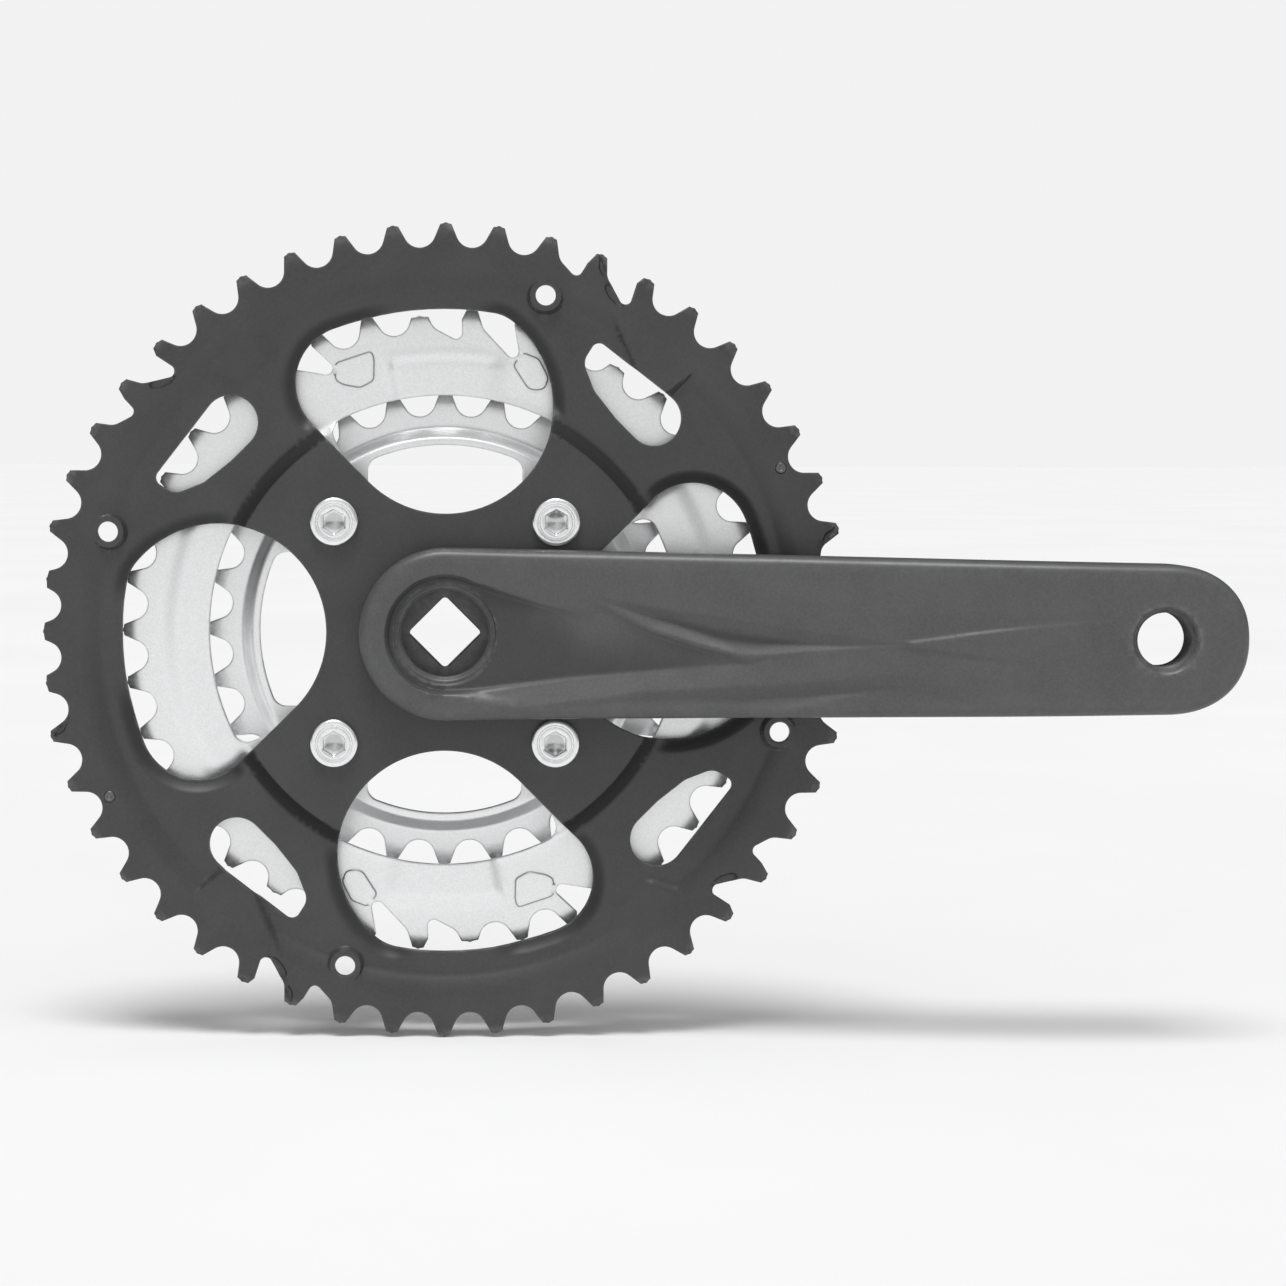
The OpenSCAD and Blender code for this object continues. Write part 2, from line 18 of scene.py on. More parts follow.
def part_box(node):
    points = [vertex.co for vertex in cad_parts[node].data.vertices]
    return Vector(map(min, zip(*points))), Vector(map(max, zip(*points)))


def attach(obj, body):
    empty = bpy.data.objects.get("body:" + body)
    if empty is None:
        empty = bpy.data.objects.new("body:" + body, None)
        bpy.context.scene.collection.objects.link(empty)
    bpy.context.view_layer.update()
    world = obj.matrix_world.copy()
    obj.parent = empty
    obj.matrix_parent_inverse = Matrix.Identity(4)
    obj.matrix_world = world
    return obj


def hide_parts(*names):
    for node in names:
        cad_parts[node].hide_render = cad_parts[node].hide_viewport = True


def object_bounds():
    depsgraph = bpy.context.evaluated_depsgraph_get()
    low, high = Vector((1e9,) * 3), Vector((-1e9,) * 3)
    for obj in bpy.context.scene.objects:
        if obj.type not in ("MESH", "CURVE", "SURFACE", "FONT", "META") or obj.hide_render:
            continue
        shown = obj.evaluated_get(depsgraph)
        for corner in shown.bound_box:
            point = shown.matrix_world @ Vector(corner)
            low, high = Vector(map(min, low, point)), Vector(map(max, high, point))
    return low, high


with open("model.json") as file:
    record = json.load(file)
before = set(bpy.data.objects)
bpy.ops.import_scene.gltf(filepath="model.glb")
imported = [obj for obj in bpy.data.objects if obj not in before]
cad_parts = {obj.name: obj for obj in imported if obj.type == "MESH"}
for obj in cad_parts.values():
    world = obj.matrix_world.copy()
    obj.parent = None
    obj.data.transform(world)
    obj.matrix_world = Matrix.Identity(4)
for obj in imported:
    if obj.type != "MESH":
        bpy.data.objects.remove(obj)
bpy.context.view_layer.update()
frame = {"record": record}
MM = 0.001


# ---- sizes read from the frame ----


def mount_place(name):
    """Where a mount stands in the face frame, in millimetres."""
    for mount in frame["record"]["mounts"]:
        if mount["name"] == name:
            x, y, z = mount["pos_m"]
            return x / MM, z / MM, -y / MM
    raise ValueError(name)


def outboard(node):
    """Height of a node's outboard face."""
    return -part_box(node)[0].y / MM


def inboard(node):
    """Height of a node's inboard face."""
    return -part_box(node)[1].y / MM


def middle_of(node):
    """Where a node's middle stands in the plane of the face frame."""
    low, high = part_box(node)
    return (low.x + high.x) / 2 / MM, (low.z + high.z) / 2 / MM


ARM_LENGTH = mount_place("pedal_thread")[0]
PEDAL_FACE = outboard("crank_arm")
ARM_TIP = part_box("crank_arm")[1].x / MM
HUB_R = -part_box("crank_arm")[0].x / MM
PLATE_FRONT = outboard("outer_chainring")
BOLT_TOP = outboard("chainring_bolt_1")
BOLT_END = inboard("chainring_bolt_1")
NUT_BACK = inboard("sleeve_nut_1")
NUT_TOP = outboard("sleeve_nut_1")
BOLT_HEAD_R = (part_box("chainring_bolt_1")[1].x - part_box("chainring_bolt_1")[0].x) / MM / 2
BOLT_SPOTS = [middle_of(f"chainring_bolt_{i}") for i in range(1, 5)]
BOLT_CIRCLE_R = math.hypot(*BOLT_SPOTS[0])

# ---- sizes shared with the CAD source, in millimetres ----

PITCH = 12.7
ROLLER_R = 3.92
TOOTH_HEIGHT = 2.0
TEETH = {"outer": 48, "middle": 38, "inner": 28}

HUB_FACE = 32.0
PEDAL_HALF_HEIGHT = 17.8
PEDAL_THICKNESS = 13.5
RECESS_R = 14.0
RECESS_DEPTH = 3.0
RELIEF_R = 12.1
RELIEF_DEPTH = 1.2
EXTRACTOR_R = 10.5
SQUARE_LENGTH = 20.0
SQUARE_HALF = 6.3
SQUARE_TAPER = 2.0
SQUARE_CORNER = 1.0
PEDAL_HOLE_R = 6.45
PEDAL_CHAMFER_R = 8.0
PEDAL_PITCH = 25.4 / 20
BOSS_R = HUB_R - 3.2

OUTER_SHEET = 2.3
JOGGLE_DEPTH = 2.6
RIM_RISE = 1.8
ARMS_FRONT = PLATE_FRONT - JOGGLE_DEPTH
MIDDLE_SHEET = 2.2
MIDDLE_DISH = 1.2
INNER_SHEET = 2.2
INNER_DISH = 3.4
OUTER_MID = ARMS_FRONT + RIM_RISE - OUTER_SHEET / 2
RING_PITCH = 8.0
MIDDLE_FRONT = OUTER_MID - RING_PITCH + MIDDLE_SHEET / 2
INNER_FRONT = OUTER_MID - 2 * RING_PITCH + INNER_SHEET / 2
SLEEVE_HOLE_R = 5.1
BOLT_ANGLES = [45, 135, 225, 315]
WINDOW_ANGLES = [0, 90, 180, 270]


def pitch_radius(teeth):
    return PITCH / (2 * math.sin(math.pi / teeth))


def root_radius(teeth):
    return pitch_radius(teeth) - ROLLER_R


OUTER_ROOT = root_radius(TEETH["outer"])
MIDDLE_ROOT = root_radius(TEETH["middle"])
INNER_ROOT = root_radius(TEETH["inner"])
JOGGLE_IN = OUTER_ROOT - 38.4
JOGGLE_OUT = JOGGLE_IN + 3.1
RISE_IN = OUTER_ROOT - 9.4
RISE_OUT = RISE_IN + 4.3
GUARD_CIRCLE_R = OUTER_ROOT - 8
PIN_CIRCLE_R = OUTER_ROOT - 2.4
WINDOW_OUTER_R = OUTER_ROOT - 14.8
GUARD_ANGLES = [73.5, 163.5, 253.5, 343.5]
PIN_ANGLES = [26.25, 206.25]
GUARD_HOLE_R = 2.45
GUARD_PAD_R = 4.3
PIN_R = 1.4


# ---- plane geometry ----


def polar(r, degrees):
    a = np.radians(degrees)
    return np.stack([r * np.cos(a), r * np.sin(a)], axis=-1)


def turned(points, degrees):
    """Points turned about the spindle."""
    c, s = math.cos(math.radians(degrees)), math.sin(math.radians(degrees))
    return np.asarray(points) @ np.array([[c, s], [-s, c]])


def arc(centre, r, start, end, step=6.0):
    n = max(1, math.ceil(abs(end - start) / step))
    return np.asarray(centre) + polar(r, np.linspace(start, end, n + 1))


def circle(centre, r, n, clockwise=False):
    points = np.asarray(centre) + polar(r, np.arange(n) * 360 / n)
    return points[::-1] if clockwise else points


def belt(circles, step=6.0):
    """Outline of a belt drawn round circles (x, y, r) that are listed counter-clockwise."""

    def leaving(p, q):
        d = (q[0] - p[0], q[1] - p[1])
        c = max(-1.0, min(1.0, (p[2] - q[2]) / math.hypot(*d)))
        return math.degrees(math.atan2(d[1], d[0]) - math.acos(c))

    parts = []
    for i, here in enumerate(circles):
        start = leaving(circles[i - 1], here)
        turn = (leaving(here, circles[(i + 1) % len(circles)]) - start) % 360
        parts.append(arc(here[:2], here[2], start, start + turn, step))
    return np.vstack(parts)


def refined(loop, longest=1.1, shortest=0.1):
    """The same outline with long edges divided and very short ones dropped."""
    kept = [loop[0]]
    for p in loop[1:]:
        if np.linalg.norm(p - kept[-1]) > shortest:
            kept.append(p)
    if np.linalg.norm(kept[-1] - kept[0]) <= shortest:
        kept.pop()
    out = []
    for a, b in zip(kept, kept[1:] + kept[:1]):
        n = max(1, math.ceil(np.linalg.norm(b - a) / longest))
        out += [a + (b - a) * k / n for k in range(n)]
    return np.array(out)


def moved_left(loop, distance):
    """A closed outline moved to its own left. The metal lies on an outline's left."""
    along = np.roll(loop, -1, axis=0) - loop
    along /= np.linalg.norm(along, axis=1)[:, None]
    left = np.stack([-along[:, 1], along[:, 0]], axis=1)
    both = left + np.roll(left, 1, axis=0)
    both /= np.maximum(np.linalg.norm(both, axis=1), 1e-9)[:, None]
    stretch = 1 / np.maximum(0.6, np.sum(both * left, axis=1))
    return loop + both * (distance * stretch)[:, None]


def inside(points, loop):
    """Which points lie inside an outline."""
    x, y = points[:, 0], points[:, 1]
    odd = np.zeros(len(points), bool)
    for (x0, y0), (x1, y1) in zip(loop, np.roll(loop, -1, axis=0)):
        if y0 == y1:
            continue
        crosses = (y0 > y) != (y1 > y)
        odd ^= crosses & (x < x0 + (y - y0) * (x1 - x0) / (y1 - y0))
    return odd


def distance_to(points, loop):
    """Distance from each point to an outline."""
    best = np.full(len(points), 1e9)
    for a, b in zip(loop, np.roll(loop, -1, axis=0)):
        d = b - a
        t = np.clip((points - a) @ d / max(d @ d, 1e-12), 0, 1)
        best = np.minimum(best, np.linalg.norm(points - a - t[:, None] * d, axis=1))
    return best


def loop_edges(start, n):
    return [(start + i, start + (i + 1) % n) for i in range(n)]


def outlines(loops):
    """The points and the edges of some outlines."""
    points, edges = [], []
    for loop in loops:
        edges += loop_edges(len(points), len(loop))
        points += list(loop)
    return points, edges


def divided(points, edges, tolerance):
    """Corners and triangles over the points, along the edges, and the given point at each corner."""
    flat = [Vector(p[:2]) for p in points]
    verts, _, tris, sources, _, _ = delaunay_2d_cdt(flat, edges, [], 0, tolerance, True)
    source = np.array([s[0] if s else -1 for s in sources])
    return np.array([tuple(v) for v in verts]), np.array([tuple(t) for t in tris]), source


def between(points, loops):
    """Which points lie inside the first outline and outside the others."""
    keep = inside(points, loops[0])
    for loop in loops[1:]:
        keep &= ~inside(points, loop)
    return keep


def cut_out(outline, cutters):
    """The outline that is left when the cutters are taken out of it, metal on its left."""
    loops = [outline, *cutters]
    verts, tris, _ = divided(*outlines(loops), 1e-5)
    onward = set()
    for a, b, c in tris[between(verts[tris].mean(axis=1), loops)]:
        onward |= {(a, b), (b, c), (c, a)}
    follow = {a: b for a, b in onward if (b, a) not in onward}
    start = max(follow, key=lambda k: np.linalg.norm(verts[k]))
    loop, k = [start], follow[start]
    while k != start:
        loop.append(k)
        k = follow[k]
    return verts[loop]


def filled(loops, inner):
    """Triangles that fill the metal between outlines, through the inner points."""
    points, edges = outlines(loops)
    verts, tris, source = divided([*points, *inner], edges, 1e-7)
    keep = between(verts[tris].mean(axis=1), loops)
    # An outline's own edge decides for the slivers along it
    onward = np.full(len(points) + len(inner), -1)
    for a, b in edges:
        onward[a] = b
    tris = source[tris]
    sides = ((0, 1), (1, 2), (2, 0))
    for a, b in sides:
        keep |= onward[tris[:, a]] == tris[:, b]
    for a, b in sides:
        keep &= onward[tris[:, b]] != tris[:, a]
    return tris[keep]


CELL = 0.12


def points_between(candidates, loops, gap):
    """The candidate points that lie in the metal, clear of its edges and of each other."""
    edge = np.vstack([refined(loop, 0.3, 0.01) for loop in loops])
    tree = KDTree(len(edge))
    for i, p in enumerate(edge):
        tree.insert((p[0], p[1], 0), i)
    tree.balance()
    chosen, cells = [], set()
    for p in candidates[between(candidates, loops)]:
        if tree.find((p[0], p[1], 0))[2] < gap:
            continue
        cell = (round(p[0] / CELL), round(p[1] / CELL))
        if cell not in cells:
            cells.add(cell)
            chosen.append(p)
    return np.array(chosen)


def polar_rows(radii, step=2.2):
    """Points on circles about the spindle. Close circles share their rays; others take turns."""
    rows, last, turn, n = [], -9.0, 0.0, 0
    for r in radii:
        if r - last > 0.8:
            n = max(12, round(2 * math.pi * r / step))
            turn = 0.5 - turn
        rows.append(polar(r, (np.arange(n) + turn) * 360 / n))
        last = r
    return np.vstack(rows)


def eased(u):
    u = np.clip(u, 0, 1)
    return u * u * (3 - 2 * u)


def angle_from(degrees, middle):
    """Signed angle from a middle line, in degrees."""
    return (degrees - middle + 180) % 360 - 180


# ---- meshes ----


RIM_STEP = 0.9
EDGE_HOLD = 0.25
EDGE_RUB = 0.55


def placed(points):
    """Face frame in millimetres to the CAD's frame in metres."""
    p = np.asarray(points, float)
    return np.stack([p[:, 0], -p[:, 2], p[:, 1]], axis=1) * MM


def close_seams(mesh):
    """Joins vertices that meet and turns every face outwards."""
    bm = bmesh.new()
    bm.from_mesh(mesh)
    bmesh.ops.remove_doubles(bm, verts=bm.verts, dist=1e-7)
    bmesh.ops.recalc_face_normals(bm, faces=bm.faces)
    bm.to_mesh(mesh)
    bm.free()


class Shape:
    """Vertices and faces gathered in the face frame, each with a worn value and a painted-shade value; on
    the pins that second value is their own darker colour.
    """

    def __init__(self):
        self.points, self.faces, self.worn, self.painted_shade_and_tone = [], [], [], []

    def add(self, points, worn=0.0, painted_shade_and_tone=0.0):
        start = len(self.points)
        n = len(points)
        self.points += [tuple(p) for p in points]
        self.worn += list(np.broadcast_to(worn, n))
        self.painted_shade_and_tone += list(np.broadcast_to(painted_shade_and_tone, n))
        return start

    def strip(self, low, high, n):
        """Quads between two closed rings of n points. Their normal is right of up for low to high."""
        for i in range(n):
            j = (i + 1) % n
            self.faces.append((low + i, low + j, high + j, high + i))

    def piece(self, name, material, slot, node, crease=34.0, seams=False):
        mesh = bpy.data.meshes.new(name)
        mesh.from_pydata([tuple(p) for p in placed(self.points)], [], self.faces)
        # The second attribute is painted shade, and on the pins their own darker colour
        for label, values in (("worn", self.worn), ("painted_shade_and_tone", self.painted_shade_and_tone)):
            mesh.attributes.new(label, "FLOAT", "POINT")
            mesh.attributes[label].data.foreach_set("value", np.clip(values, 0, 1))
        mesh.validate()
        mesh.shade_smooth()
        if seams:
            close_seams(mesh)
        mesh.set_sharp_from_angle(angle=math.radians(crease))
        obj = bpy.data.objects.new(name, mesh)
        bpy.context.scene.collection.objects.link(obj)
        mesh.materials.append(material)
        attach(obj, "root")
        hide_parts(node)
        return obj


def joined(points, z):
    return np.column_stack([points, np.broadcast_to(z, len(points))])


def no_shade(x, y):
    return np.zeros_like(x)


def sheet(loops, front, back, inner, edge, worn_at, painted_shade_at=no_shade):
    """A plate between two surfaces, its outlines rounded off by edge at both sides."""
    shape = Shape()
    # Rows in from an outline: how far in, how far below the surface, how rubbed
    steps = [(0.0, edge, 1.0), (0.3 * edge, 0.3 * edge, 1.0), (edge, 0.0, 0.6)]
    steps.append((edge + EDGE_HOLD, 0.0, 0.0))
    starts = {}
    for side, surface in ((1, front), (-1, back)):
        for k, loop in enumerate(loops):
            for row, (inward, drop, rub) in enumerate(steps):
                p = moved_left(loop, inward)
                z = surface(*p.T) - side * drop
                worn = np.maximum(worn_at(*p.T), EDGE_RUB * rub)
                starts[side, k, row] = shape.add(joined(p, z), worn, painted_shade_at(*p.T))
    last = len(steps) - 1
    for k, loop in enumerate(loops):
        n = len(loop)
        for row in range(last):
            shape.strip(starts[1, k, row], starts[1, k, row + 1], n)
            shape.strip(starts[-1, k, row + 1], starts[-1, k, row], n)
        shape.strip(starts[-1, k, 0], starts[1, k, 0], n)
    rims = [moved_left(loop, steps[last][0]) for loop in loops]
    fill = filled(rims, inner)
    for side, surface in ((1, front), (-1, back)):
        where = []
        for k, rim in enumerate(rims):
            where += range(starts[side, k, last], starts[side, k, last] + len(rim))
        start = shape.add(joined(inner, surface(*inner.T)), worn_at(*inner.T), painted_shade_at(*inner.T))
        where += range(start, start + len(inner))
        shape.faces += [tuple(where[i] for i in t[::side]) for t in fill]
    return shape


def lathe(shape, centre, profile, n=72, outline=None, worn=0.0, painted_shade_and_tone=0.0):
    """Rings (r, z) joined from first to last about a centre; outline(r, angles) may reshape one."""
    angles = np.arange(n) * 360 / n
    starts = []
    for r, z in profile:
        reach_r = outline(r, angles) if outline else np.full(n, r)
        ring = np.asarray(centre) + polar(1, angles) * np.asarray(reach_r)[:, None]
        starts.append(shape.add(joined(ring, z), worn, painted_shade_and_tone))
    for a, b in zip(starts, starts[1:]):
        shape.strip(a, b, n)
    return starts


# ---- materials ----


class Nodes:
    """A short way to write a node tree. A value is a number, a colour or a node's output."""

    def __init__(self, tree, place):
        self.tree = tree
        self.place = self.node("TexCoord", place)

    def put(self, value, into):
        if isinstance(value, bpy.types.NodeSocket):
            self.tree.links.new(value, into)
        elif into.type == "RGBA":
            into.default_value = (*value, 1)
        else:
            into.default_value = value

    def node(self, kind, out, *values, **named):
        """A new node's output. Lower-case names are its settings, the others its inputs."""
        node = self.tree.nodes.new("ShaderNode" + kind)
        for name in filter(str.islower, named):
            setattr(node, name, named[name])
        for value, into in zip(values, node.inputs):
            self.put(value, into)
        for name, value in named.items():
            if not name.islower():
                self.put(value, node.inputs[name.replace("_", " ")])
        return node.outputs[out]

    def noise(self, scale, detail=3.0, rough=0.5):
        return self.node("TexNoise", "Fac", Vector=self.place, Scale=scale, Detail=detail, Roughness=rough)

    def ramp(self, value, stops):
        out = self.node("ValToRGB", "Color", value)
        elements = out.node.color_ramp.elements
        for element, (place, level) in zip(elements, stops):
            element.position = place
            element.color = (*level, 1)
        return out

    def spread(self, value, low, high):
        return self.node("MapRange", "Result", Value=value, To_Min=low, To_Max=high)

    def mask(self, name):
        return self.node("Attribute", "Fac", attribute_name=name)

    def maths(self, operation, a, b):
        return self.node("Math", "Value", a, b, operation=operation)

    def mix(self, factor, a, b, kind="RGBA"):
        return self.node("Mix", "Result", data_type=kind, Factor=factor, A=a, B=b)


class Finish(Nodes):
    """A material's node tree."""

    def __init__(self, name):
        self.material = bpy.data.materials.new(name)
        self.material.use_nodes = True
        super().__init__(self.material.node_tree, "Object")
        self.shader = self.tree.nodes["Principled BSDF"].inputs

    def bump(self, height, strength, distance):
        normal = self.node("Bump", "Normal", Strength=strength, Distance=distance, Height=height)
        self.put(normal, self.shader["Normal"])

    def finish(self, colour, roughness):
        self.put(colour, self.shader["Base Color"])
        self.put(roughness, self.shader["Roughness"])
        return self.material


DARK_ROUGH = 0.72
WORN_PAINT_ROUGH = 0.34
WORN_STEEL_ROUGH = 0.42


def grey(level):
    return (level, level * 1.005, level * 1.012)


def paint(name, low, high, scuffed, gloss, peel, grain):
    """Baked paint: patchy tone, fine texture, painted shade in the creases and recesses, rubbed paler at the
    edges.
    """
    n = Finish(name)
    tone = n.ramp(n.noise(55, 5, 0.62), [(0.3, grey(low)), (0.7, grey(high))])
    speck = n.ramp(n.noise(1700, 2), [(0.35, grey(0.0)), (0.75, grey(1.0))])
    toned = n.mix(n.spread(speck, 0.0, 0.16), tone, grey(high * 2.2))
    # Painted shade: the colour is darkened where the mesh's painted-shade value is set
    shaded = n.mix(n.mask("painted_shade_and_tone"), toned, grey(low * 0.08))
    patch = n.ramp(n.noise(420, 4, 0.7), [(0.38, grey(0.0)), (0.66, grey(1.0))])
    rubbed = n.maths("MULTIPLY", n.mask("worn"), patch)
    colour = n.mix(rubbed, shaded, grey(scuffed))
    even = n.spread(n.noise(240, 4, 0.6), gloss - 0.06, gloss + 0.08)
    rough = n.mix(n.mask("painted_shade_and_tone"), even, DARK_ROUGH, "FLOAT")
    n.bump(n.noise(grain, 3, 0.55), peel, 0.00004)
    n.shader["IOR"].default_value = 1.5
    return n.finish(colour, n.mix(rubbed, rough, WORN_PAINT_ROUGH, "FLOAT"))


def steel(name, low, high, dull, gloss, grain, relief):
    """Plated sheet steel: fine crystalline grain, dull worn patches, polished high spots."""
    n = Finish(name)
    flake = n.noise(grain, 4, 0.7)
    tone = n.ramp(flake, [(0.32, grey(low)), (0.68, grey(high))])
    cloud = n.noise(60, 4, 0.6)
    toned = n.mix(n.spread(cloud, 0.0, 0.35), tone, grey(low))
    # Painted shade along sheared outlines and in socket bottoms; on the pins the same value gives their own
    # darker colour
    shaded = n.mix(n.mask("painted_shade_and_tone"), toned, grey(dull * 0.5))
    patch = n.ramp(n.noise(520, 4, 0.7), [(0.3, grey(0.25)), (0.6, grey(1.0))])
    rubbed = n.maths("MULTIPLY", n.mask("worn"), patch)
    colour = n.mix(rubbed, shaded, grey(dull))
    rough = n.spread(flake, gloss - 0.06, gloss + 0.1)
    n.bump(flake, relief, 0.00005)
    n.shader["Metallic"].default_value = 1.0
    return n.finish(colour, n.mix(rubbed, rough, WORN_STEEL_ROUGH, "FLOAT"))


def make_materials():
    return {
        "arm": paint("arm_satin_paint", 0.059, 0.077, 0.16, 0.40, 0.26, 2600),
        "ring": paint("ring_black_paint", 0.033, 0.045, 0.14, 0.34, 0.20, 1500),
        "rings": steel("plated_steel", 0.80, 0.96, 0.30, 0.36, 2300, 0.30),
        "chrome": steel("bright_chrome", 0.84, 0.95, 0.45, 0.20, 900, 0.06),
        "pin": steel("dull_pin_steel", 0.10, 0.16, 0.25, 0.42, 1500, 0.25),
        "nut": steel("turned_steel", 0.42, 0.60, 0.30, 0.32, 1500, 0.25),
    }


MATERIALS = make_materials()

# ---- teeth ----

SEAT_ANGLE = 64
SHOULDER_DROP = 0.5
TIP_HALF_W = 0.30
# Each corner of a tip is cut: down its flank, then along its top
TIP_CUT = (0.16, 0.17)
GATE_R = 1.5
RUB_SEED = {48: 1.0, 38: 2.0, 28: 3.0}


def tooth_outline(teeth, short):
    """Outline of a toothed disc whose first tooth points along x; short maps a tooth to its loss."""
    pitch_r = pitch_radius(teeth)
    half = 180 / teeth

    def shoulder(tip):
        rise = tip - SHOULDER_DROP + ROLLER_R * math.cos(math.radians(SEAT_ANGLE))
        side = ROLLER_R * math.sin(math.radians(SEAT_ANGLE)) + rise / math.tan(math.radians(SEAT_ANGLE))
        return np.array([pitch_r + tip - SHOULDER_DROP, side])

    seat = arc((0, 0), ROLLER_R, -SEAT_ANGLE, SEAT_ANGLE, 9.7)
    points = []
    for k in range(teeth):
        a = (k + 0.5) * 360 / teeth
        low = TOOTH_HEIGHT - short.get(k, 0)
        high = TOOTH_HEIGHT - short.get((k + 1) % teeth, 0)
        leave, meet = shoulder(low), shoulder(high)
        soft_low = [pitch_r + low - TIP_CUT[0], TIP_HALF_W + TIP_CUT[1]]
        soft_high = [pitch_r + high - TIP_CUT[0], -TIP_HALF_W - TIP_CUT[1]]
        points.append(turned([[pitch_r + low, TIP_HALF_W], soft_low], a - half))
        points.append(turned([[leave[0], -leave[1]]], a))
        points.append(turned(np.column_stack([pitch_r - seat[:, 0], seat[:, 1]]), a))
        points.append(turned([meet], a))
        points.append(turned([soft_high, [pitch_r + high, -TIP_HALF_W]], a + half))
    return np.vstack(points)


def gate(teeth, k, depth, lean):
    """Cutter that deepens the gap after tooth k, beside that tooth, with a slanting floor."""
    a = (k + 0.5) * 360 / teeth
    seat = polar(pitch_radius(teeth), a)
    low = polar(root_radius(teeth) - depth + GATE_R, a - lean)
    return belt([(*seat, ROLLER_R), (*low, GATE_R)], 12)


def tip_chamfer(r, teeth, most):
    """How much a tooth is thinned at each side near its tip."""
    return most * eased((r - pitch_radius(teeth) + 1.6) / 3.6)


def toothed_sheet(teeth, loops, rows, gap, front, thickness, edge, thin, rub, painted_shade_at=no_shade):
    """A toothed plate: rows of candidate points, then the sheet with its tips thinned and rubbed."""
    inner = points_between(np.vstack(rows), [moved_left(loop, 0.6) for loop in loops], gap)

    def top(x, y):
        return front(x, y) - tip_chamfer(np.hypot(x, y), teeth, thin)

    def bottom(x, y):
        return front(x, y) - thickness + tip_chamfer(np.hypot(x, y), teeth, thin)

    def worn_at(x, y):
        return rub * tip_wear(x, y, teeth, RUB_SEED[teeth])

    return sheet(loops, top, bottom, inner, edge, worn_at, painted_shade_at)


def tip_wear(x, y, teeth, seed):
    """Teeth are rubbed near their tips, some more than others."""
    r = np.hypot(x, y)
    a = np.degrees(np.arctan2(y, x))
    tooth = np.round(a / (360 / teeth))
    some = 0.5 + 0.5 * np.sin(tooth * 2.4 + seed) * np.sin(tooth * 0.83 + 2 * seed)
    return eased((r - pitch_radius(teeth) + 0.6) / 1.7) * (0.35 + 0.65 * some)


# ---- outer ring ----

OUTER_SHORT = {23: 1.7, 24: 1.7, 25: 1.5, 8: 0.3, 18: 0.35, 19: 0.35, 20: 0.3, 32: 0.3, 33: 0.3}
OUTER_GATES = [(8, 2.7, 2), (18, 2.7, 2), (32, 2.7, 2), (42, 2.7, 2),
               (9, 1.2, 1), (19, 1.2, 1), (33, 1.2, 1), (43, 1.2, 1)]
WINDOW_INNER_R = 28.8
TIGHT_CORNER_ANGLE = 20.4
SMALL_WINDOW_TURN = 52.3
# The flange covers this angle each side of a window's middle, apart from a gap at the middle
FLANGE_SPAN = 46
FLANGE_GAP = (2.0, 6.0)
# Strengths of the painted shade on the window flanges, the joggle's fall and the ramps' edges
FLANGE_PAINTED_SHADE = 0.65
JOGGLE_PAINTED_SHADE = 0.95
RAMP_PAINTED_SHADE = 0.8
NEAR_OUTLINE = 9
FLANGE_W = 3.6
FLANGE_DROP = 1.8
# Pads pressed up beside the small windows: both ends (angle on the rise line, lean, softness),
# inner radius, share of the full rise
PADS = [
    ((46.0, -0.1, 1.0), (61.0, 1.0, 2.2), 75.0, 1.0),
    ((226.0, -0.1, 1.0), (241.0, 1.0, 2.2), 75.0, 1.0),
    ((120.0, 0.0, 4.0), (132.8, 0.42, 1.8), 77.0, 0.55),
    ((300.0, 0.0, 4.0), (312.8, 0.42, 1.8), 77.0, 0.55),
]
# Chain ramps milled beside the gates and down two teeth: corners (angle, radius)
GATE_RAMP = [(3.9, 92.0), (3.6, 93.3), (1.8, 92.3), (0.3, 91.0), (0.0, 89.8), (1.0, 89.5), (2.6, 90.3)]
TOOTH_RAMP = [(0.2, 98.4), (-1.5, 95.6), (-2.9, 93.6), (-1.6, 93.9), (-0.3, 95.6)]
RAMP_DEPTH = 0.5


def large_window(angle):
    """Rim arc, tight corner, narrow inner end and soft corner of a large window."""
    soft_r, tight_r, narrow_r = 10.0, 14.0, 26.2
    narrow = WINDOW_INNER_R + narrow_r
    soft_at = WINDOW_OUTER_R - soft_r
    apart = narrow_r - soft_r
    lean = math.degrees(math.acos((soft_at**2 + narrow**2 - apart**2) / (2 * soft_at * narrow)))
    tight = polar(WINDOW_OUTER_R - tight_r, TIGHT_CORNER_ANGLE)
    soft = polar(soft_at, -lean)
    outline = belt([(0, 0, WINDOW_OUTER_R), (*tight, tight_r), (narrow, 0, narrow_r), (*soft, soft_r)], 3)
    return turned(outline, angle)


def small_window(angle):
    edge = WINDOW_OUTER_R + 0.4
    rounds = [(6.6, -8.3), (2, 12.2), (4, 10), (5.3, 5.3), (6.2, -2)]
    return turned(belt([(edge - r, y, r) for r, y in rounds], 5), angle + SMALL_WINDOW_TURN)


LARGE_WINDOWS = [refined(large_window(a), 1.0) for a in WINDOW_ANGLES]


def window_flange(p, r):
    """How far the sheet is turned inboard along the outer part of each large window."""
    drop = np.zeros(len(p))
    a = np.degrees(np.arctan2(p[:, 1], p[:, 0]))
    for middle, loop in zip(WINDOW_ANGLES, LARGE_WINDOWS):
        near = np.abs(angle_from(a, middle)) < FLANGE_SPAN
        near &= r > JOGGLE_OUT - 1
        if not near.any():
            continue
        away = distance_to(p[near], loop)
        lean = angle_from(a[near], middle)
        present = eased((np.abs(lean - FLANGE_GAP[0]) - FLANGE_GAP[1]) / 7.0)
        present *= eased((r[near] - JOGGLE_OUT) / 4.0)
        drop[near] = np.maximum(drop[near], present * eased(1 - away / FLANGE_W))
    return drop


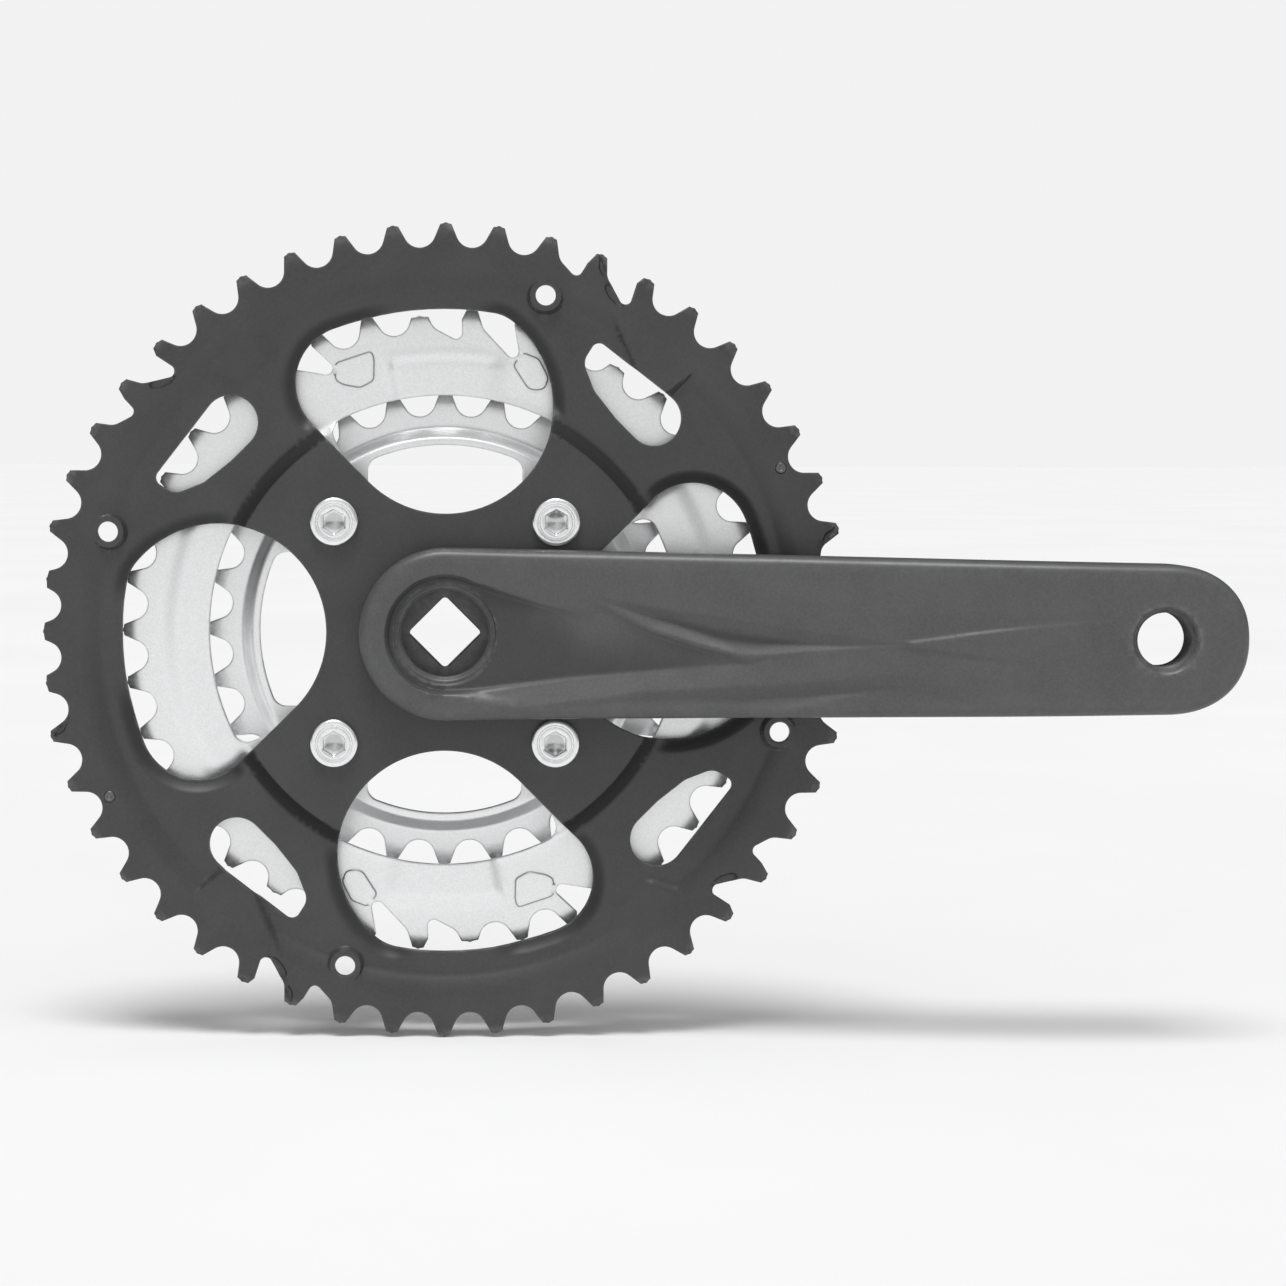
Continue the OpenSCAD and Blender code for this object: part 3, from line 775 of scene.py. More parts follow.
def outer_front(x, y):
    p = np.column_stack([x, y])
    r = np.hypot(x, y)
    a = np.degrees(np.arctan2(y, x)) % 360
    fall = np.clip((r - JOGGLE_IN) / (JOGGLE_OUT - JOGGLE_IN), 0, 1)
    z = PLATE_FRONT - JOGGLE_DEPTH * (1 - (1 - fall) ** 1.5)
    lift = 1 - (1 - np.clip((r - RISE_IN) / (RISE_OUT + 1.4 - RISE_IN), 0, 1)) ** 1.7
    for first, last, inner_r, share in PADS:
        across = pad_end(a, r, first, 1) * pad_end(a, r, last, -1)
        lift = np.maximum(lift, share * across * eased((r - inner_r) / 3.0))
    for angle in GUARD_ANGLES:
        off = np.linalg.norm(p - polar(GUARD_CIRCLE_R, angle), axis=1)
        lift = np.maximum(lift, eased((GUARD_PAD_R + 0.35 - off) / 0.8))
    z = z + RIM_RISE * lift - FLANGE_DROP * window_flange(p, r)
    return z - RAMP_DEPTH * stepped(p, RAMP_LOOPS, 0.16)


def pad_end(a, r, end, side):
    angle, lean, soft = end
    return eased(side * (a - angle - lean * (r - 84)) / soft)


def on_outlines(p, loops, value):
    """The greatest value(points, outline) over some small outlines, nothing far from them."""
    out = np.zeros(len(p))
    for loop in loops:
        near = np.linalg.norm(p - loop.mean(axis=0), axis=1) < NEAR_OUTLINE
        if near.any():
            out[near] = np.maximum(out[near], value(p[near], loop))
    return out


def stepped(p, loops, soft):
    """One inside any of the small outlines, falling to nothing just outside it."""

    def value(q, loop):
        off = distance_to(q, loop) * np.where(inside(q, loop), 1, -1)
        return eased(0.5 + 0.5 * off / soft)

    return on_outlines(p, loops, value)


def traced(p, loops, width):
    """One on the small outlines, falling to nothing a short way off."""
    return on_outlines(p, loops, lambda q, loop: eased(1 - distance_to(q, loop) / width))


def rounded(corners, r):
    """A polygon with its corners cut by short curves."""
    out = []
    n = len(corners)
    for i in range(n):
        here = corners[i]
        to_last, to_next = corners[i - 1] - here, corners[(i + 1) % n] - here
        a = here + to_last / np.linalg.norm(to_last) * min(r, 0.45 * np.linalg.norm(to_last))
        b = here + to_next / np.linalg.norm(to_next) * min(r, 0.45 * np.linalg.norm(to_next))
        for t in (0, 0.25, 0.5, 0.75, 1):
            out.append((1 - t) ** 2 * a + 2 * t * (1 - t) * here + t * t * b)
    return np.array(out)


def small_outline(corners, turn, r=0.9):
    """A small rounded outline from its corners (angle, radius), counter-clockwise."""
    flat = np.array([polar(radius, a + turn) for a, radius in corners])
    middle = flat.mean(axis=0)
    order = np.argsort(np.arctan2(*(flat - middle).T[::-1]))
    return refined(rounded(flat[order], r), 0.5, 0.02)


RAMP_LOOPS = [small_outline(GATE_RAMP, a) for a in (61.5, 136.5, 241.5, 316.5)]
RAMP_LOOPS += [small_outline(TOOTH_RAMP, a, 0.4) for a in (15.0, 67.5, 195.0, 247.5)]


def outer_shade(x, y):
    """Painted shade on the joggle's steep fall, along the window flanges and round the ramps' edges."""
    r = np.hypot(x, y)
    fall = JOGGLE_PAINTED_SHADE * eased((r - JOGGLE_IN + 0.1) / 0.3) * eased((JOGGLE_OUT + 0.7 - r) / 0.7)
    p = np.column_stack([x, y])
    flange = window_flange(p, r)
    ramps = RAMP_PAINTED_SHADE * traced(p, RAMP_LOOPS, 0.3)
    return np.maximum(fall, np.maximum(FLANGE_PAINTED_SHADE * flange * (2 - flange), ramps))


def ring_about(centre, radii, n=40):
    return np.vstack([circle(centre, r, n) for r in radii])


def ray_rows(angles, radii):
    """Points along rays, for a crease that runs outwards."""
    return np.vstack([polar(np.asarray(radii), a) for a in angles])


def outer_chainring():
    teeth = TEETH["outer"]
    cutters = [gate(teeth, k, depth, lean) for k, depth, lean in OUTER_GATES]
    rim = refined(cut_out(tooth_outline(teeth, OUTER_SHORT), cutters), RIM_STEP)
    loops = [rim]
    loops += [loop[::-1] for loop in LARGE_WINDOWS]
    loops += [refined(small_window(a), RIM_STEP)[::-1] for a in WINDOW_ANGLES]
    loops += [circle(polar(GUARD_CIRCLE_R, a), GUARD_HOLE_R, 36, True) for a in GUARD_ANGLES]
    loops += [circle(polar(PIN_CIRCLE_R, a), PIN_R, 24, True) for a in PIN_ANGLES]
    loops += [circle(polar(BOLT_CIRCLE_R, a), SLEEVE_HOLE_R, 48, True) for a in BOLT_ANGLES]
    loops += [circle((0, 0), BOSS_R, 96, True)]
    fall = JOGGLE_IN + np.array([-0.5, 0, 0.2, 0.45, 0.8, 1.2, 1.7, 2.3, 3.1, 4.0])
    rise = np.linspace(RISE_IN - 0.4, RISE_OUT + 0.4, 9)
    radii = [*np.arange(20, JOGGLE_IN - 2, 3.0), *fall, *np.arange(61, RISE_IN - 1.5, 2.2), *rise,
             *np.arange(90, 99, 1.3)]
    rows = [ring_about(polar(GUARD_CIRCLE_R, a), (3.2, 3.8, 4.1, 4.4, 4.8)) for a in GUARD_ANGLES]
    for (first, _, _), (last, _, _), inner_r, _ in PADS:
        rows.append(ray_rows(np.arange(first - 1.5, last + 3.5, 0.45), np.arange(inner_r - 0.5, 89, 0.7)))
    rows += [moved_left(loop, d) for loop in RAMP_LOOPS for d in (0.35, 0.16, 0.0, -0.16, -0.35)]
    for loop in LARGE_WINDOWS:
        for away in (0.9, 1.4, 1.9, 2.4, 2.9, 3.4, 3.9):
            rows.append(moved_left(loop, -away))
    rows.append(polar_rows(radii, 1.9))
    shape = toothed_sheet(teeth, loops, rows, 0.55, outer_front, OUTER_SHEET, 0.22, 0.62, 1.0, outer_shade)
    return shape.piece("outer_ring", MATERIALS["ring"], "ring_paint", "outer_chainring")


# ---- middle ring ----

MIDDLE_SHORT = {6: 1.7, 10: 1.7, 25: 1.7, 29: 1.7}
MIDDLE_GATES = [(8, 4.2, 4), (12, 4.2, 4), (27, 4.2, 4), (31, 4.2, 4), (9, 1.6, 2), (28, 1.6, 2)]
MIDDLE_CONE_OUT = MIDDLE_ROOT - 4
MIDDLE_CONE_IN = MIDDLE_ROOT - 8.3
MIDDLE_EDGE = MIDDLE_ROOT - 15.4
MIDDLE_TAB_SPREAD = 18.7
TAB_FILLET = 3.5
TAB_R = SLEEVE_HOLE_R + 2.8
BAND_LIFT = 0.7
GEM_LIFT = 0.45
GEMS = [  # corners (angle, radius) of the two half-sheared plates beside the upper raised web
    [(112.3, 70.6), (113.7, 66.8), (112.6, 65.1), (109.3, 62.9), (106.0, 63.6), (104.7, 68.7),
     (104.9, 70.6)],
    [(75.7, 67.0), (71.3, 62.7), (69.4, 62.9), (67.8, 64.1), (67.9, 66.8), (71.1, 70.3), (74.4, 70.6)],
]


GEM_LOOPS = [small_outline(gem, turn) for turn in (0, 180) for gem in GEMS]


def middle_front(x, y):
    p = np.column_stack([x, y])
    r = np.hypot(x, y)
    a = np.degrees(np.arctan2(y, x))
    cone = eased((MIDDLE_CONE_OUT + 0.6 - r) / (MIDDLE_CONE_OUT - MIDDLE_CONE_IN + 0.4))
    raised = np.zeros_like(r)
    for middle in (0, 180):
        raised = np.maximum(raised, eased((34 - np.abs(angle_from(a, middle))) / 4.0))
    for middle in (90, 270):
        lean = angle_from(a, middle)
        raised = np.maximum(raised, eased((lean + 14.0) / 5.0) * eased((13.2 - lean) / 2.6))
    tab = eased((MIDDLE_EDGE + 0.6 - r) / 2.6)
    lift = np.maximum(BAND_LIFT * cone * raised, tab)
    z = MIDDLE_FRONT + MIDDLE_DISH * lift
    return z + GEM_LIFT * stepped(p, GEM_LOOPS, 0.12)


def gem_shade(x, y):
    """Painted shade in a thin line along the sheared outline of each plate."""
    return 0.85 * traced(np.column_stack([x, y]), GEM_LOOPS, 0.34)


def tabbed_edge(edge_r, spread):
    """Inner outline of a ring that hangs on four bolt tabs, metal on its left."""
    root = polar(edge_r - TAB_FILLET, spread)
    to_root = root - np.array([BOLT_CIRCLE_R, 0])
    away = np.linalg.norm(to_root)
    n = math.degrees(math.atan2(to_root[1], to_root[0]) + math.acos((TAB_R + TAB_FILLET) / away))
    upper = arc(root, TAB_FILLET, spread, n - 180, 8)
    tip = arc((BOLT_CIRCLE_R, 0), TAB_R, n, 360 - n, 5)
    lower = upper[::-1] * [1, -1]
    points = []
    for angle in BOLT_ANGLES:
        tab = np.vstack([upper, tip, lower])[::-1]
        web = arc((0, 0), edge_r, spread, 90 - spread, 1.2)[1:-1]
        points += [turned(tab, angle), turned(web, angle)]
    return np.vstack(points)[::-1]


def toothed_ring(teeth, short, gates, edge_r, spread):
    cutters = [gate(teeth, k, depth, lean) for k, depth, lean in gates]
    outline = tooth_outline(teeth, short)
    rim = refined(cut_out(outline, cutters) if cutters else outline, RIM_STEP)
    loops = [rim, refined(tabbed_edge(edge_r, spread), RIM_STEP)]
    return loops + [circle(polar(BOLT_CIRCLE_R, a), SLEEVE_HOLE_R, 48, True) for a in BOLT_ANGLES]


def middle_chainring():
    teeth = TEETH["middle"]
    loops = toothed_ring(teeth, MIDDLE_SHORT, MIDDLE_GATES, MIDDLE_EDGE, MIDDLE_TAB_SPREAD)
    radii = [*np.arange(31, MIDDLE_EDGE - 3, 2.2), *np.linspace(MIDDLE_EDGE - 2.4, MIDDLE_EDGE + 1, 7),
             *np.arange(MIDDLE_EDGE + 2.4, MIDDLE_CONE_IN - 0.6, 1.6),
             *np.linspace(MIDDLE_CONE_IN - 0.4, MIDDLE_CONE_OUT + 0.8, 9), *np.arange(71, 78, 1.4)]
    rows = [moved_left(loop, d) for loop in GEM_LOOPS for d in (0.8, 0.28, 0.1, -0.1, -0.28, -0.8)]
    for middle in (90, 270):
        turns = [*np.linspace(-14.4, -8.6, 6), *np.linspace(10.4, 13.4, 5)]
        rows.append(ray_rows([middle + t for t in turns], np.arange(58.5, 70, 0.9)))
    rows.append(polar_rows(radii, 1.7))
    shape = toothed_sheet(teeth, loops, rows, 0.5, middle_front, MIDDLE_SHEET, 0.2, 0.6, 1.2, gem_shade)
    return shape.piece("middle_ring", MATERIALS["rings"], "ring_steel", "middle_chainring")


# ---- inner ring ----

INNER_CONE_OUT = INNER_ROOT - 2.8
INNER_CONE_IN = INNER_ROOT - 5.8
INNER_EDGE = INNER_ROOT - 7.3
INNER_TAB_SPREAD = 23.3


def inner_front(x, y):
    r = np.hypot(x, y)
    rise = (INNER_CONE_OUT + 0.4 - r) / (INNER_CONE_OUT - INNER_CONE_IN + 0.5)
    return INNER_FRONT + INNER_DISH * eased(rise)


def inner_chainring():
    teeth = TEETH["inner"]
    loops = toothed_ring(teeth, {}, [], INNER_EDGE, INNER_TAB_SPREAD)
    radii = [*np.arange(31, 45, 2.0), *np.linspace(INNER_CONE_IN - 0.6, INNER_CONE_OUT + 0.8, 11),
             *np.arange(52, 58, 1.3)]
    rows = [polar_rows(radii, 1.5)]
    shape = toothed_sheet(teeth, loops, rows, 0.5, inner_front, INNER_SHEET, 0.2, 0.6, 1.2)
    return shape.piece("inner_ring", MATERIALS["rings"], "ring_steel", "inner_chainring")


# ---- crank arm ----

FRONT_ROUND = 2.5
BACK_ROUND = 2.0
END_POWER = 2.25
RAMP_EASE = 0.2
RAMP_START = 14
RAMP_END = ARM_LENGTH - 14
PEDAL_SPOT = np.array([ARM_LENGTH, 0])
HUB_N = 96
PEDAL_N = 72

# Creases of the forged face, each a line of (along, up, height above the plain face)
CREASES = {
    "valley_upper_edge": [(6.6, 12.75, -0.25), (13.4, 10.6, -0.7), (23.2, 7.4, -1.1),
                          (30.3, 5.6, -1.3), (35, 4.2, -1.5)],
    "valley_upper_foot": [(6.2, 12.0, -2.9), (13.4, 9.6, -2.6), (23.2, 6.5, -2.2),
                          (30.3, 4.9, -1.9), (34.8, 3.5, -1.65)],
    "valley_lower_foot": [(0.2, -13.4, -3.0), (7.8, -12.9, -3.0), (16.3, -11.7, -2.95),
                          (30.3, -9.9, -2.8), (44.3, -8.5, -2.6), (55.5, -7.4, -2.4), (70.4, -5.9, -2.1)],
    "lower_band_top": [(0.2, -14.35, -0.7), (7.8, -13.7, -1.9), (16.3, -12.5, -2.2), (30.3, -10.6, -2.3),
                       (44.3, -9.2, -2.2), (55.5, -8.1, -2.1), (72.4, -6.4, -1.9), (77, -5.3, -1.6)],
    "ridge_foot": [(37.5, 6.0, -1.55), (49, 0.2, -2.1), (60, -3.2, -2.2), (69.4, -5.3, -2.05)],
    "ridge": [(36.5, 8.2, -0.8), (49.3, 1.4, -0.75), (60.5, -2.1, -0.9), (69.6, -4.5, -1.2),
              (74.6, -4.8, -1.2), (92, -3.2, -1.1), (109, -1.75, -0.55)],
    "groove_floor": [(37.2, 8.75, -0.95), (52, 4.2, -2.3), (66, -0.2, -2.8), (74.6, -1.3, -2.8),
                     (92, -1.5, -1.9), (108.5, -1.5, -0.8)],
    "groove_upper_edge": [(36.8, 9.3, -0.6), (51.4, 6.6, -0.45), (68, 4.3, -0.55), (84, 1.9, -0.7),
                          (97, 0.2, -0.65), (109, -1.25, -0.5)],
    "upper_facet": [(14, 19.0, 0.0), (29, 16.6, 0.0), (53.5, 13.6, 0.0), (78, 10.2, -0.05),
                    (113, 5.6, -0.25), (135, 6.0, -0.12), (158, 7.0, -0.05)],
    "spear_upper": [(110.2, -1.35, -0.15), (125, 0.9, -0.02), (145, 3.0, -0.02), (161, 4.6, -0.02)],
    "spear_upper_foot": [(108.6, -0.4, -0.85), (125, 2.0, -0.75), (143, 4.1, -0.45), (160, 5.5, -0.12)],
    "spear_lower": [(110.2, -1.75, -0.15), (122, -3.2, -0.02), (142, -5.5, -0.02)],
    "spear_lower_foot": [(108.6, -2.7, -0.85), (121, -4.3, -0.65), (140, -6.5, -0.2)],
    "lower_crest": [(20, -17.6, -0.05), (45, -13.9, -0.3), (61, -12.6, -0.3), (74.6, -11.6, -0.25),
                    (90, -10.1, -0.25), (108, -8.5, -0.25), (124, -7.8, -0.03)],
    "lower_groove": [(24, -18.4, -0.3), (45, -15.6, -0.9), (61, -14.6, -1.5), (74.6, -14.3, -2.0),
                     (90, -13.3, -1.9), (105.7, -12.2, -1.3), (120, -11.6, -0.2)],
}
CREASES["pedal_end"] = [(168, -11, -0.02), (168, 11, -0.02)]
CREASES["pedal_end_tip"] = [(186, -10, -0.02), (186, 10, -0.02)]
CREASES["recess_edge"] = [(*p, -0.1) for p in polar(RECESS_R + 0.3, np.arange(62, 272, 7))]
CREASES["recess_foot"] = [(*p, -3.0) for p in polar(RECESS_R - 0.4, np.arange(62, 272, 7))]
CREASES["recess_floor"] = [(*p, -3.0) for p in polar(11.0, np.arange(0, 360, 20))]
NET_BORDER = [(-40, -24, 0), (60, -22.5, 0), (150, -19.5, -0.05), (215, -19, -0.3),
              (215, 19, -0.3), (150, 19.5, -0.5), (60, 22.5, -0.8), (-40, 24, -0.3)]
CREASE_SOFTNESS = 0.36


def crease_net():
    """Triangles between the creases, on which the face's height is read."""
    points, edges = [], []
    for line in CREASES.values():
        edges += [(len(points) + i, len(points) + i + 1) for i in range(len(line) - 1)]
        points += line
    edges += loop_edges(len(points), len(NET_BORDER))
    points += NET_BORDER
    verts, tris, source = divided(points, edges, 1e-6)
    return verts, np.array([points[i][2] for i in source], float), tris


NET = crease_net()


def net_height(x, y):
    verts, heights, tris = NET
    z = np.zeros_like(x)
    for tri in tris:
        (ax, ay), (bx, by), (cx, cy) = verts[tri]
        area = (bx - ax) * (cy - ay) - (cx - ax) * (by - ay)
        if abs(area) < 1e-9:
            continue
        u = ((x - ax) * (cy - ay) - (cx - ax) * (y - ay)) / area
        v = ((bx - ax) * (y - ay) - (x - ax) * (by - ay)) / area
        hit = (u >= -1e-9) & (v >= -1e-9) & (u + v <= 1 + 1e-9)
        h = heights[tri]
        z[hit] = (h[0] + u * (h[1] - h[0]) + v * (h[2] - h[0]))[hit]
    return z


def soft_net_height(x, y):
    """The net's height with its creases rounded over."""
    total = net_height(x, y)
    for a in range(0, 360, 60):
        dx, dy = polar(CREASE_SOFTNESS, a)
        total = total + net_height(x + dx, y + dy)
    return total / 7


def ramp(u):
    """Rises from 0 to 1, straight between two short curves."""
    b = RAMP_EASE
    k = 2 * b * (1 - b)
    u = np.clip(u, 0, 1)
    return np.where(u < b, u * u / k, np.where(u > 1 - b, 1 - (1 - u) ** 2 / k, (u - b / 2) / (1 - b)))


def arm_front(x):
    return HUB_FACE + (PEDAL_FACE - HUB_FACE) * ramp((x - RAMP_START) / (RAMP_END - RAMP_START))


def arm_back(x, y):
    rise = PEDAL_FACE - PEDAL_THICKNESS - PLATE_FRONT
    return PLATE_FRONT + rise * ramp((x - HUB_R) / (RAMP_END - HUB_R))


def arm_outline(d):
    """Outline of the arm drawn in by d, counter-clockwise from the pedal end's tip."""
    reach_x = ARM_TIP - ARM_LENGTH - d
    half = PEDAL_HALF_HEIGHT - d
    a = np.radians(np.linspace(0, 90, 25)[:-1])
    end = np.column_stack([ARM_LENGTH + reach_x * np.cos(a) ** (2 / END_POWER),
                           half * np.sin(a) ** (2 / END_POWER)])
    u = np.linspace(0, 1, 97)[:-1]
    side = np.column_stack([ARM_LENGTH * (1 - u), half + (HUB_R - PEDAL_HALF_HEIGHT) * u])
    hub = polar(HUB_R - d, np.linspace(90, 180, 31))
    upper = np.vstack([end, side, hub])
    lower = upper[-2:0:-1] * [1, -1]
    return np.vstack([upper, lower])


def face_height(x, y):
    """Height of the arm's outboard face."""
    return arm_front(x) + soft_net_height(x, y)


def face_shade(x, y):
    """Painted shade: the sunken valley and the deep creases are coloured a little darker."""
    return 0.45 * eased((-soft_net_height(x, y) - 1.7) / 0.9)


def bead_rows(top, bottom, crest_r, root_r, pitch):
    """Rings of a cut thread seen in section, from the top down."""
    rows = []
    z = top
    while z - pitch > bottom:
        rows += [(root_r, z), (crest_r, z - 0.5 * pitch)]
        z -= pitch
    return rows + [(root_r, z)]


def squared(half, angles):
    """Reach of a square with rounded corners, standing on a corner, in each direction."""
    a = np.radians((np.asarray(angles) - 45 + 45) % 90 - 45)
    flat = half / np.cos(a)
    c = half - SQUARE_CORNER
    tip = np.abs(a)
    mid = c * (np.cos(tip) + np.sin(tip))
    round_reach = mid + np.sqrt(np.maximum(mid**2 - (2 * c * c - SQUARE_CORNER**2), 0))
    return np.where(flat * np.sin(tip) > c, round_reach, flat)


def quarter_round(r, turns, side):
    """Rows round an edge: how far in from the outline, how far from the face, which face."""
    return [(r * (1 - math.cos(t)), r * (1 - math.sin(t)), side) for t in np.radians(turns)]


def arm_sides(shape):
    """The arm's rounded edges. Gives the rim of the front face and of the back face."""
    rows = [(FRONT_ROUND + 0.7, 0.0, 1), *quarter_round(FRONT_ROUND, np.linspace(90, 0, 8), 1)]
    rows += [*quarter_round(BACK_ROUND, np.linspace(0, 90, 6), -1), (BACK_ROUND + 0.5, 0.0, -1)]
    rims = []
    for d, drop, side in rows:
        p = arm_outline(d)
        z = face_height(*p.T) - drop if side == 1 else arm_back(*p.T) + drop
        rims.append((p, shape.add(joined(p, z), 0.12)))
    for (_, a), (p, b) in zip(rims, rims[1:]):
        shape.strip(b, a, len(p))
    return rims[0], rims[-1]


def arm_face(shape, rim, holes, inner, height, painted_shade_at=no_shade):
    """Fills a face between its rim and its holes, each hole with how rubbed it is and how much painted shade
    it gets.
    """
    loops = [rim[0]] + [loop for loop, _, _ in holes]
    where = [*range(rim[1], rim[1] + len(rim[0]))]
    for loop, worn, painted_shade_and_tone in holes:
        start = shape.add(joined(loop, height(*loop.T)), worn, painted_shade_and_tone)
        where += range(start, start + len(loop))
    start = shape.add(joined(inner, height(*inner.T)), 0.0, painted_shade_at(*inner.T))
    where += range(start, start + len(inner))
    shape.faces += [tuple(where[i] for i in t) for t in filled(loops, inner)]


def arm_grid(along, across):
    return np.array([(x, y) for x in np.arange(-20, ARM_TIP, along) for y in np.arange(-20, 20, across)])


def boss_and_square(shape):
    """The boss behind the ring, down to the socket's mouth, and the square up to its small end."""
    swage = PLATE_FRONT - OUTER_SHEET
    boss = [(0.0, PLATE_FRONT), (0.0, swage + 0.05), (0.75, swage), (1.0, swage - 0.25), (0.9, swage - 1.0),
            (0.5, swage - 1.4), (0.0, swage - 1.6), (0.0, 1.4), (-0.3, 0.6), (-0.9, 0.1), (-1.4, 0.0),
            (-2.0, 0.0)]
    boss = [(BOSS_R + out, z) for out, z in boss]
    grow = math.tan(math.radians(SQUARE_TAPER))
    mouth = SQUARE_HALF + SQUARE_LENGTH * grow
    square = [(mouth + 0.5, 0.0), (mouth + 0.05, 0.45)]
    square += [(SQUARE_HALF + (SQUARE_LENGTH - z) * grow, z) for z in (1.0, 5.0, 10.0, 15.0, 19.0)]
    square += [(SQUARE_HALF, SQUARE_LENGTH - 0.25), (SQUARE_HALF + 0.3, SQUARE_LENGTH)]
    boss_rings = lathe(shape, (0, 0), boss, HUB_N, worn=0.2)
    square_rings = lathe(shape, (0, 0), square, HUB_N, squared, worn=0.35)
    shape.strip(boss_rings[-1], square_rings[0], HUB_N)
    return square_rings[-1]


def hub_bore(shape, hub_hole, square_top):
    """Relief and extractor thread, from the recess floor down to the square."""
    floor = HUB_FACE - RECESS_DEPTH
    step = floor - RELIEF_DEPTH
    profile = [(RELIEF_R, floor - 0.25), (RELIEF_R, step + 0.15), (RELIEF_R - 0.15, step),
               (11.65, step), (11.5, step - 0.3), (11.35, step - 0.35), (EXTRACTOR_R + 0.75, step - 0.4),
               (EXTRACTOR_R + 0.35, step - 0.9)]
    profile += bead_rows(step - 1.1, SQUARE_LENGTH + 0.9, EXTRACTOR_R, EXTRACTOR_R + 0.5, 1.0)
    profile += [(EXTRACTOR_R + 0.5, SQUARE_LENGTH + 0.25), (EXTRACTOR_R + 0.25, SQUARE_LENGTH)]
    mouth = shape.add(joined(hub_hole[::-1], face_height(*hub_hole[::-1].T)), 0.3)
    rings = lathe(shape, (0, 0), profile, HUB_N, worn=0.4)
    shape.strip(mouth, rings[0], HUB_N)
    shape.strip(rings[-1], square_top, HUB_N)


def pedal_thread(shape, front_hole, back_hole):
    low = PEDAL_FACE - PEDAL_THICKNESS
    profile = [(PEDAL_CHAMFER_R, PEDAL_FACE - 0.1), (PEDAL_HOLE_R + 0.75, PEDAL_FACE - 1.35)]
    profile += bead_rows(PEDAL_FACE - 1.6, low + 1.4, PEDAL_HOLE_R, PEDAL_HOLE_R + 0.62, PEDAL_PITCH)
    profile += [(PEDAL_HOLE_R + 0.75, low + 1.2)]
    front = shape.add(joined(front_hole[::-1], face_height(*front_hole[::-1].T)), 0.7)
    rings = lathe(shape, PEDAL_SPOT, profile, PEDAL_N, worn=0.5)
    back = shape.add(joined(back_hole[::-1], arm_back(*back_hole[::-1].T)), 0.6)
    shape.strip(front, rings[0], PEDAL_N)
    shape.strip(rings[-1], back, PEDAL_N)


def crank_arm():
    shape = Shape()
    front, back = arm_sides(shape)
    hub_hole = circle((0, 0), RELIEF_R + 0.25, HUB_N, True)
    front_hole = circle(PEDAL_SPOT, PEDAL_CHAMFER_R + 0.2, PEDAL_N, True)
    rows = [moved_left(hub_hole, d) for d in (0.5, 1.0, 1.35, 1.6, 1.85, 2.1, 2.6, 3.4)]
    rows += [beside(np.array(line, float)[:, :2]) for line in CREASES.values()]
    rows.append(arm_grid(1.9, 1.6))
    inner = points_between(np.vstack(rows), [front[0], hub_hole, front_hole], 0.4)
    # Painted shade at the hub hole's mouth (0.45) and, from face_shade, in the valley, the creases and the
    # recess
    arm_face(shape, front, [(hub_hole, 0.1, 0.45), (front_hole, 0.7, 0.0)], inner, face_height, face_shade)

    boss_hole = circle((0, 0), BOSS_R, HUB_N, True)
    back_hole = circle(PEDAL_SPOT, PEDAL_CHAMFER_R, PEDAL_N, True)
    inner = points_between(arm_grid(4.0, 4.0), [back[0], boss_hole, back_hole], 1.5)
    arm_face(shape, back, [(boss_hole, 0.1, 0.0), (back_hole, 0.6, 0.0)], inner, arm_back)

    hub_bore(shape, hub_hole, boss_and_square(shape))
    pedal_thread(shape, front_hole, back_hole)
    return shape.piece("arm", MATERIALS["arm"], "arm_paint", "crank_arm", crease=38, seams=True)


def beside(line, rows=(-1.2, -0.7, -0.35, 0.0, 0.35, 0.7, 1.2), step=1.0):
    """Points along a crease and in rows on both sides of it."""
    points = []
    for a, b in zip(line, line[1:]):
        d = b - a
        length = np.linalg.norm(d)
        left = np.array([-d[1], d[0]]) / length
        for t in np.linspace(0, 1, max(2, round(length / step)) + 1):
            points += [a + d * t + left * row for row in rows]
    return np.array(points)


# ---- fasteners ----

HEX_HALF = 2.5
HEX_DEPTH = 3.2


def hexed(r, angles):
    """Reach of a hexagon of this half width, corners up and down, in each direction."""
    a = np.radians((np.asarray(angles) + 30) % 60 - 30)
    return r / np.cos(a)


def chainring_bolt(i):
    shape = Shape()
    centre = BOLT_SPOTS[i - 1]
    n = 72
    top, seat, shank = BOLT_TOP, PLATE_FRONT, 3.95
    outside = [(shank - 0.4, BOLT_END), (shank, BOLT_END + 0.4), (shank, seat),
               (BOLT_HEAD_R - 0.15, seat), (BOLT_HEAD_R, seat + 0.15), (BOLT_HEAD_R, top - 0.8),
               (BOLT_HEAD_R - 0.06, top - 0.5), (BOLT_HEAD_R - 0.22, top - 0.24),
               (BOLT_HEAD_R - 0.5, top - 0.07), (BOLT_HEAD_R - 0.85, top - 0.01), (4.75, top),
               (4.55, top - 0.03), (4.35, top - 0.32), (4.05, top - 0.34), (3.85, top - 0.05),
               (3.65, top - 0.02)]
    rings = lathe(shape, centre, outside, n, worn=0.1)
    hexes = [(HEX_HALF + 0.42, top - 0.02), (HEX_HALF + 0.12, top - 0.2), (HEX_HALF, top - 0.45),
             (HEX_HALF, top - HEX_DEPTH + 0.9)]
    inner = lathe(shape, centre, hexes, n, hexed, worn=0.15)
    shape.strip(rings[-1], inner[0], n)
    # Painted shade in the bottom of the hex socket
    cone = lathe(shape, centre, [(1.9, top - HEX_DEPTH + 0.55), (0.9, top - HEX_DEPTH + 0.15),
                                 (0.12, top - HEX_DEPTH)], n, painted_shade_and_tone=0.5)
    shape.strip(inner[-1], cone[0], n)
    shape.faces.append(tuple(cone[-1] + k for k in range(n)))
    shape.faces.append(tuple(rings[0] + k for k in reversed(range(n))))
    return shape.piece(f"bolt_{i}", MATERIALS["chrome"], "bolt_chrome", f"chainring_bolt_{i}")


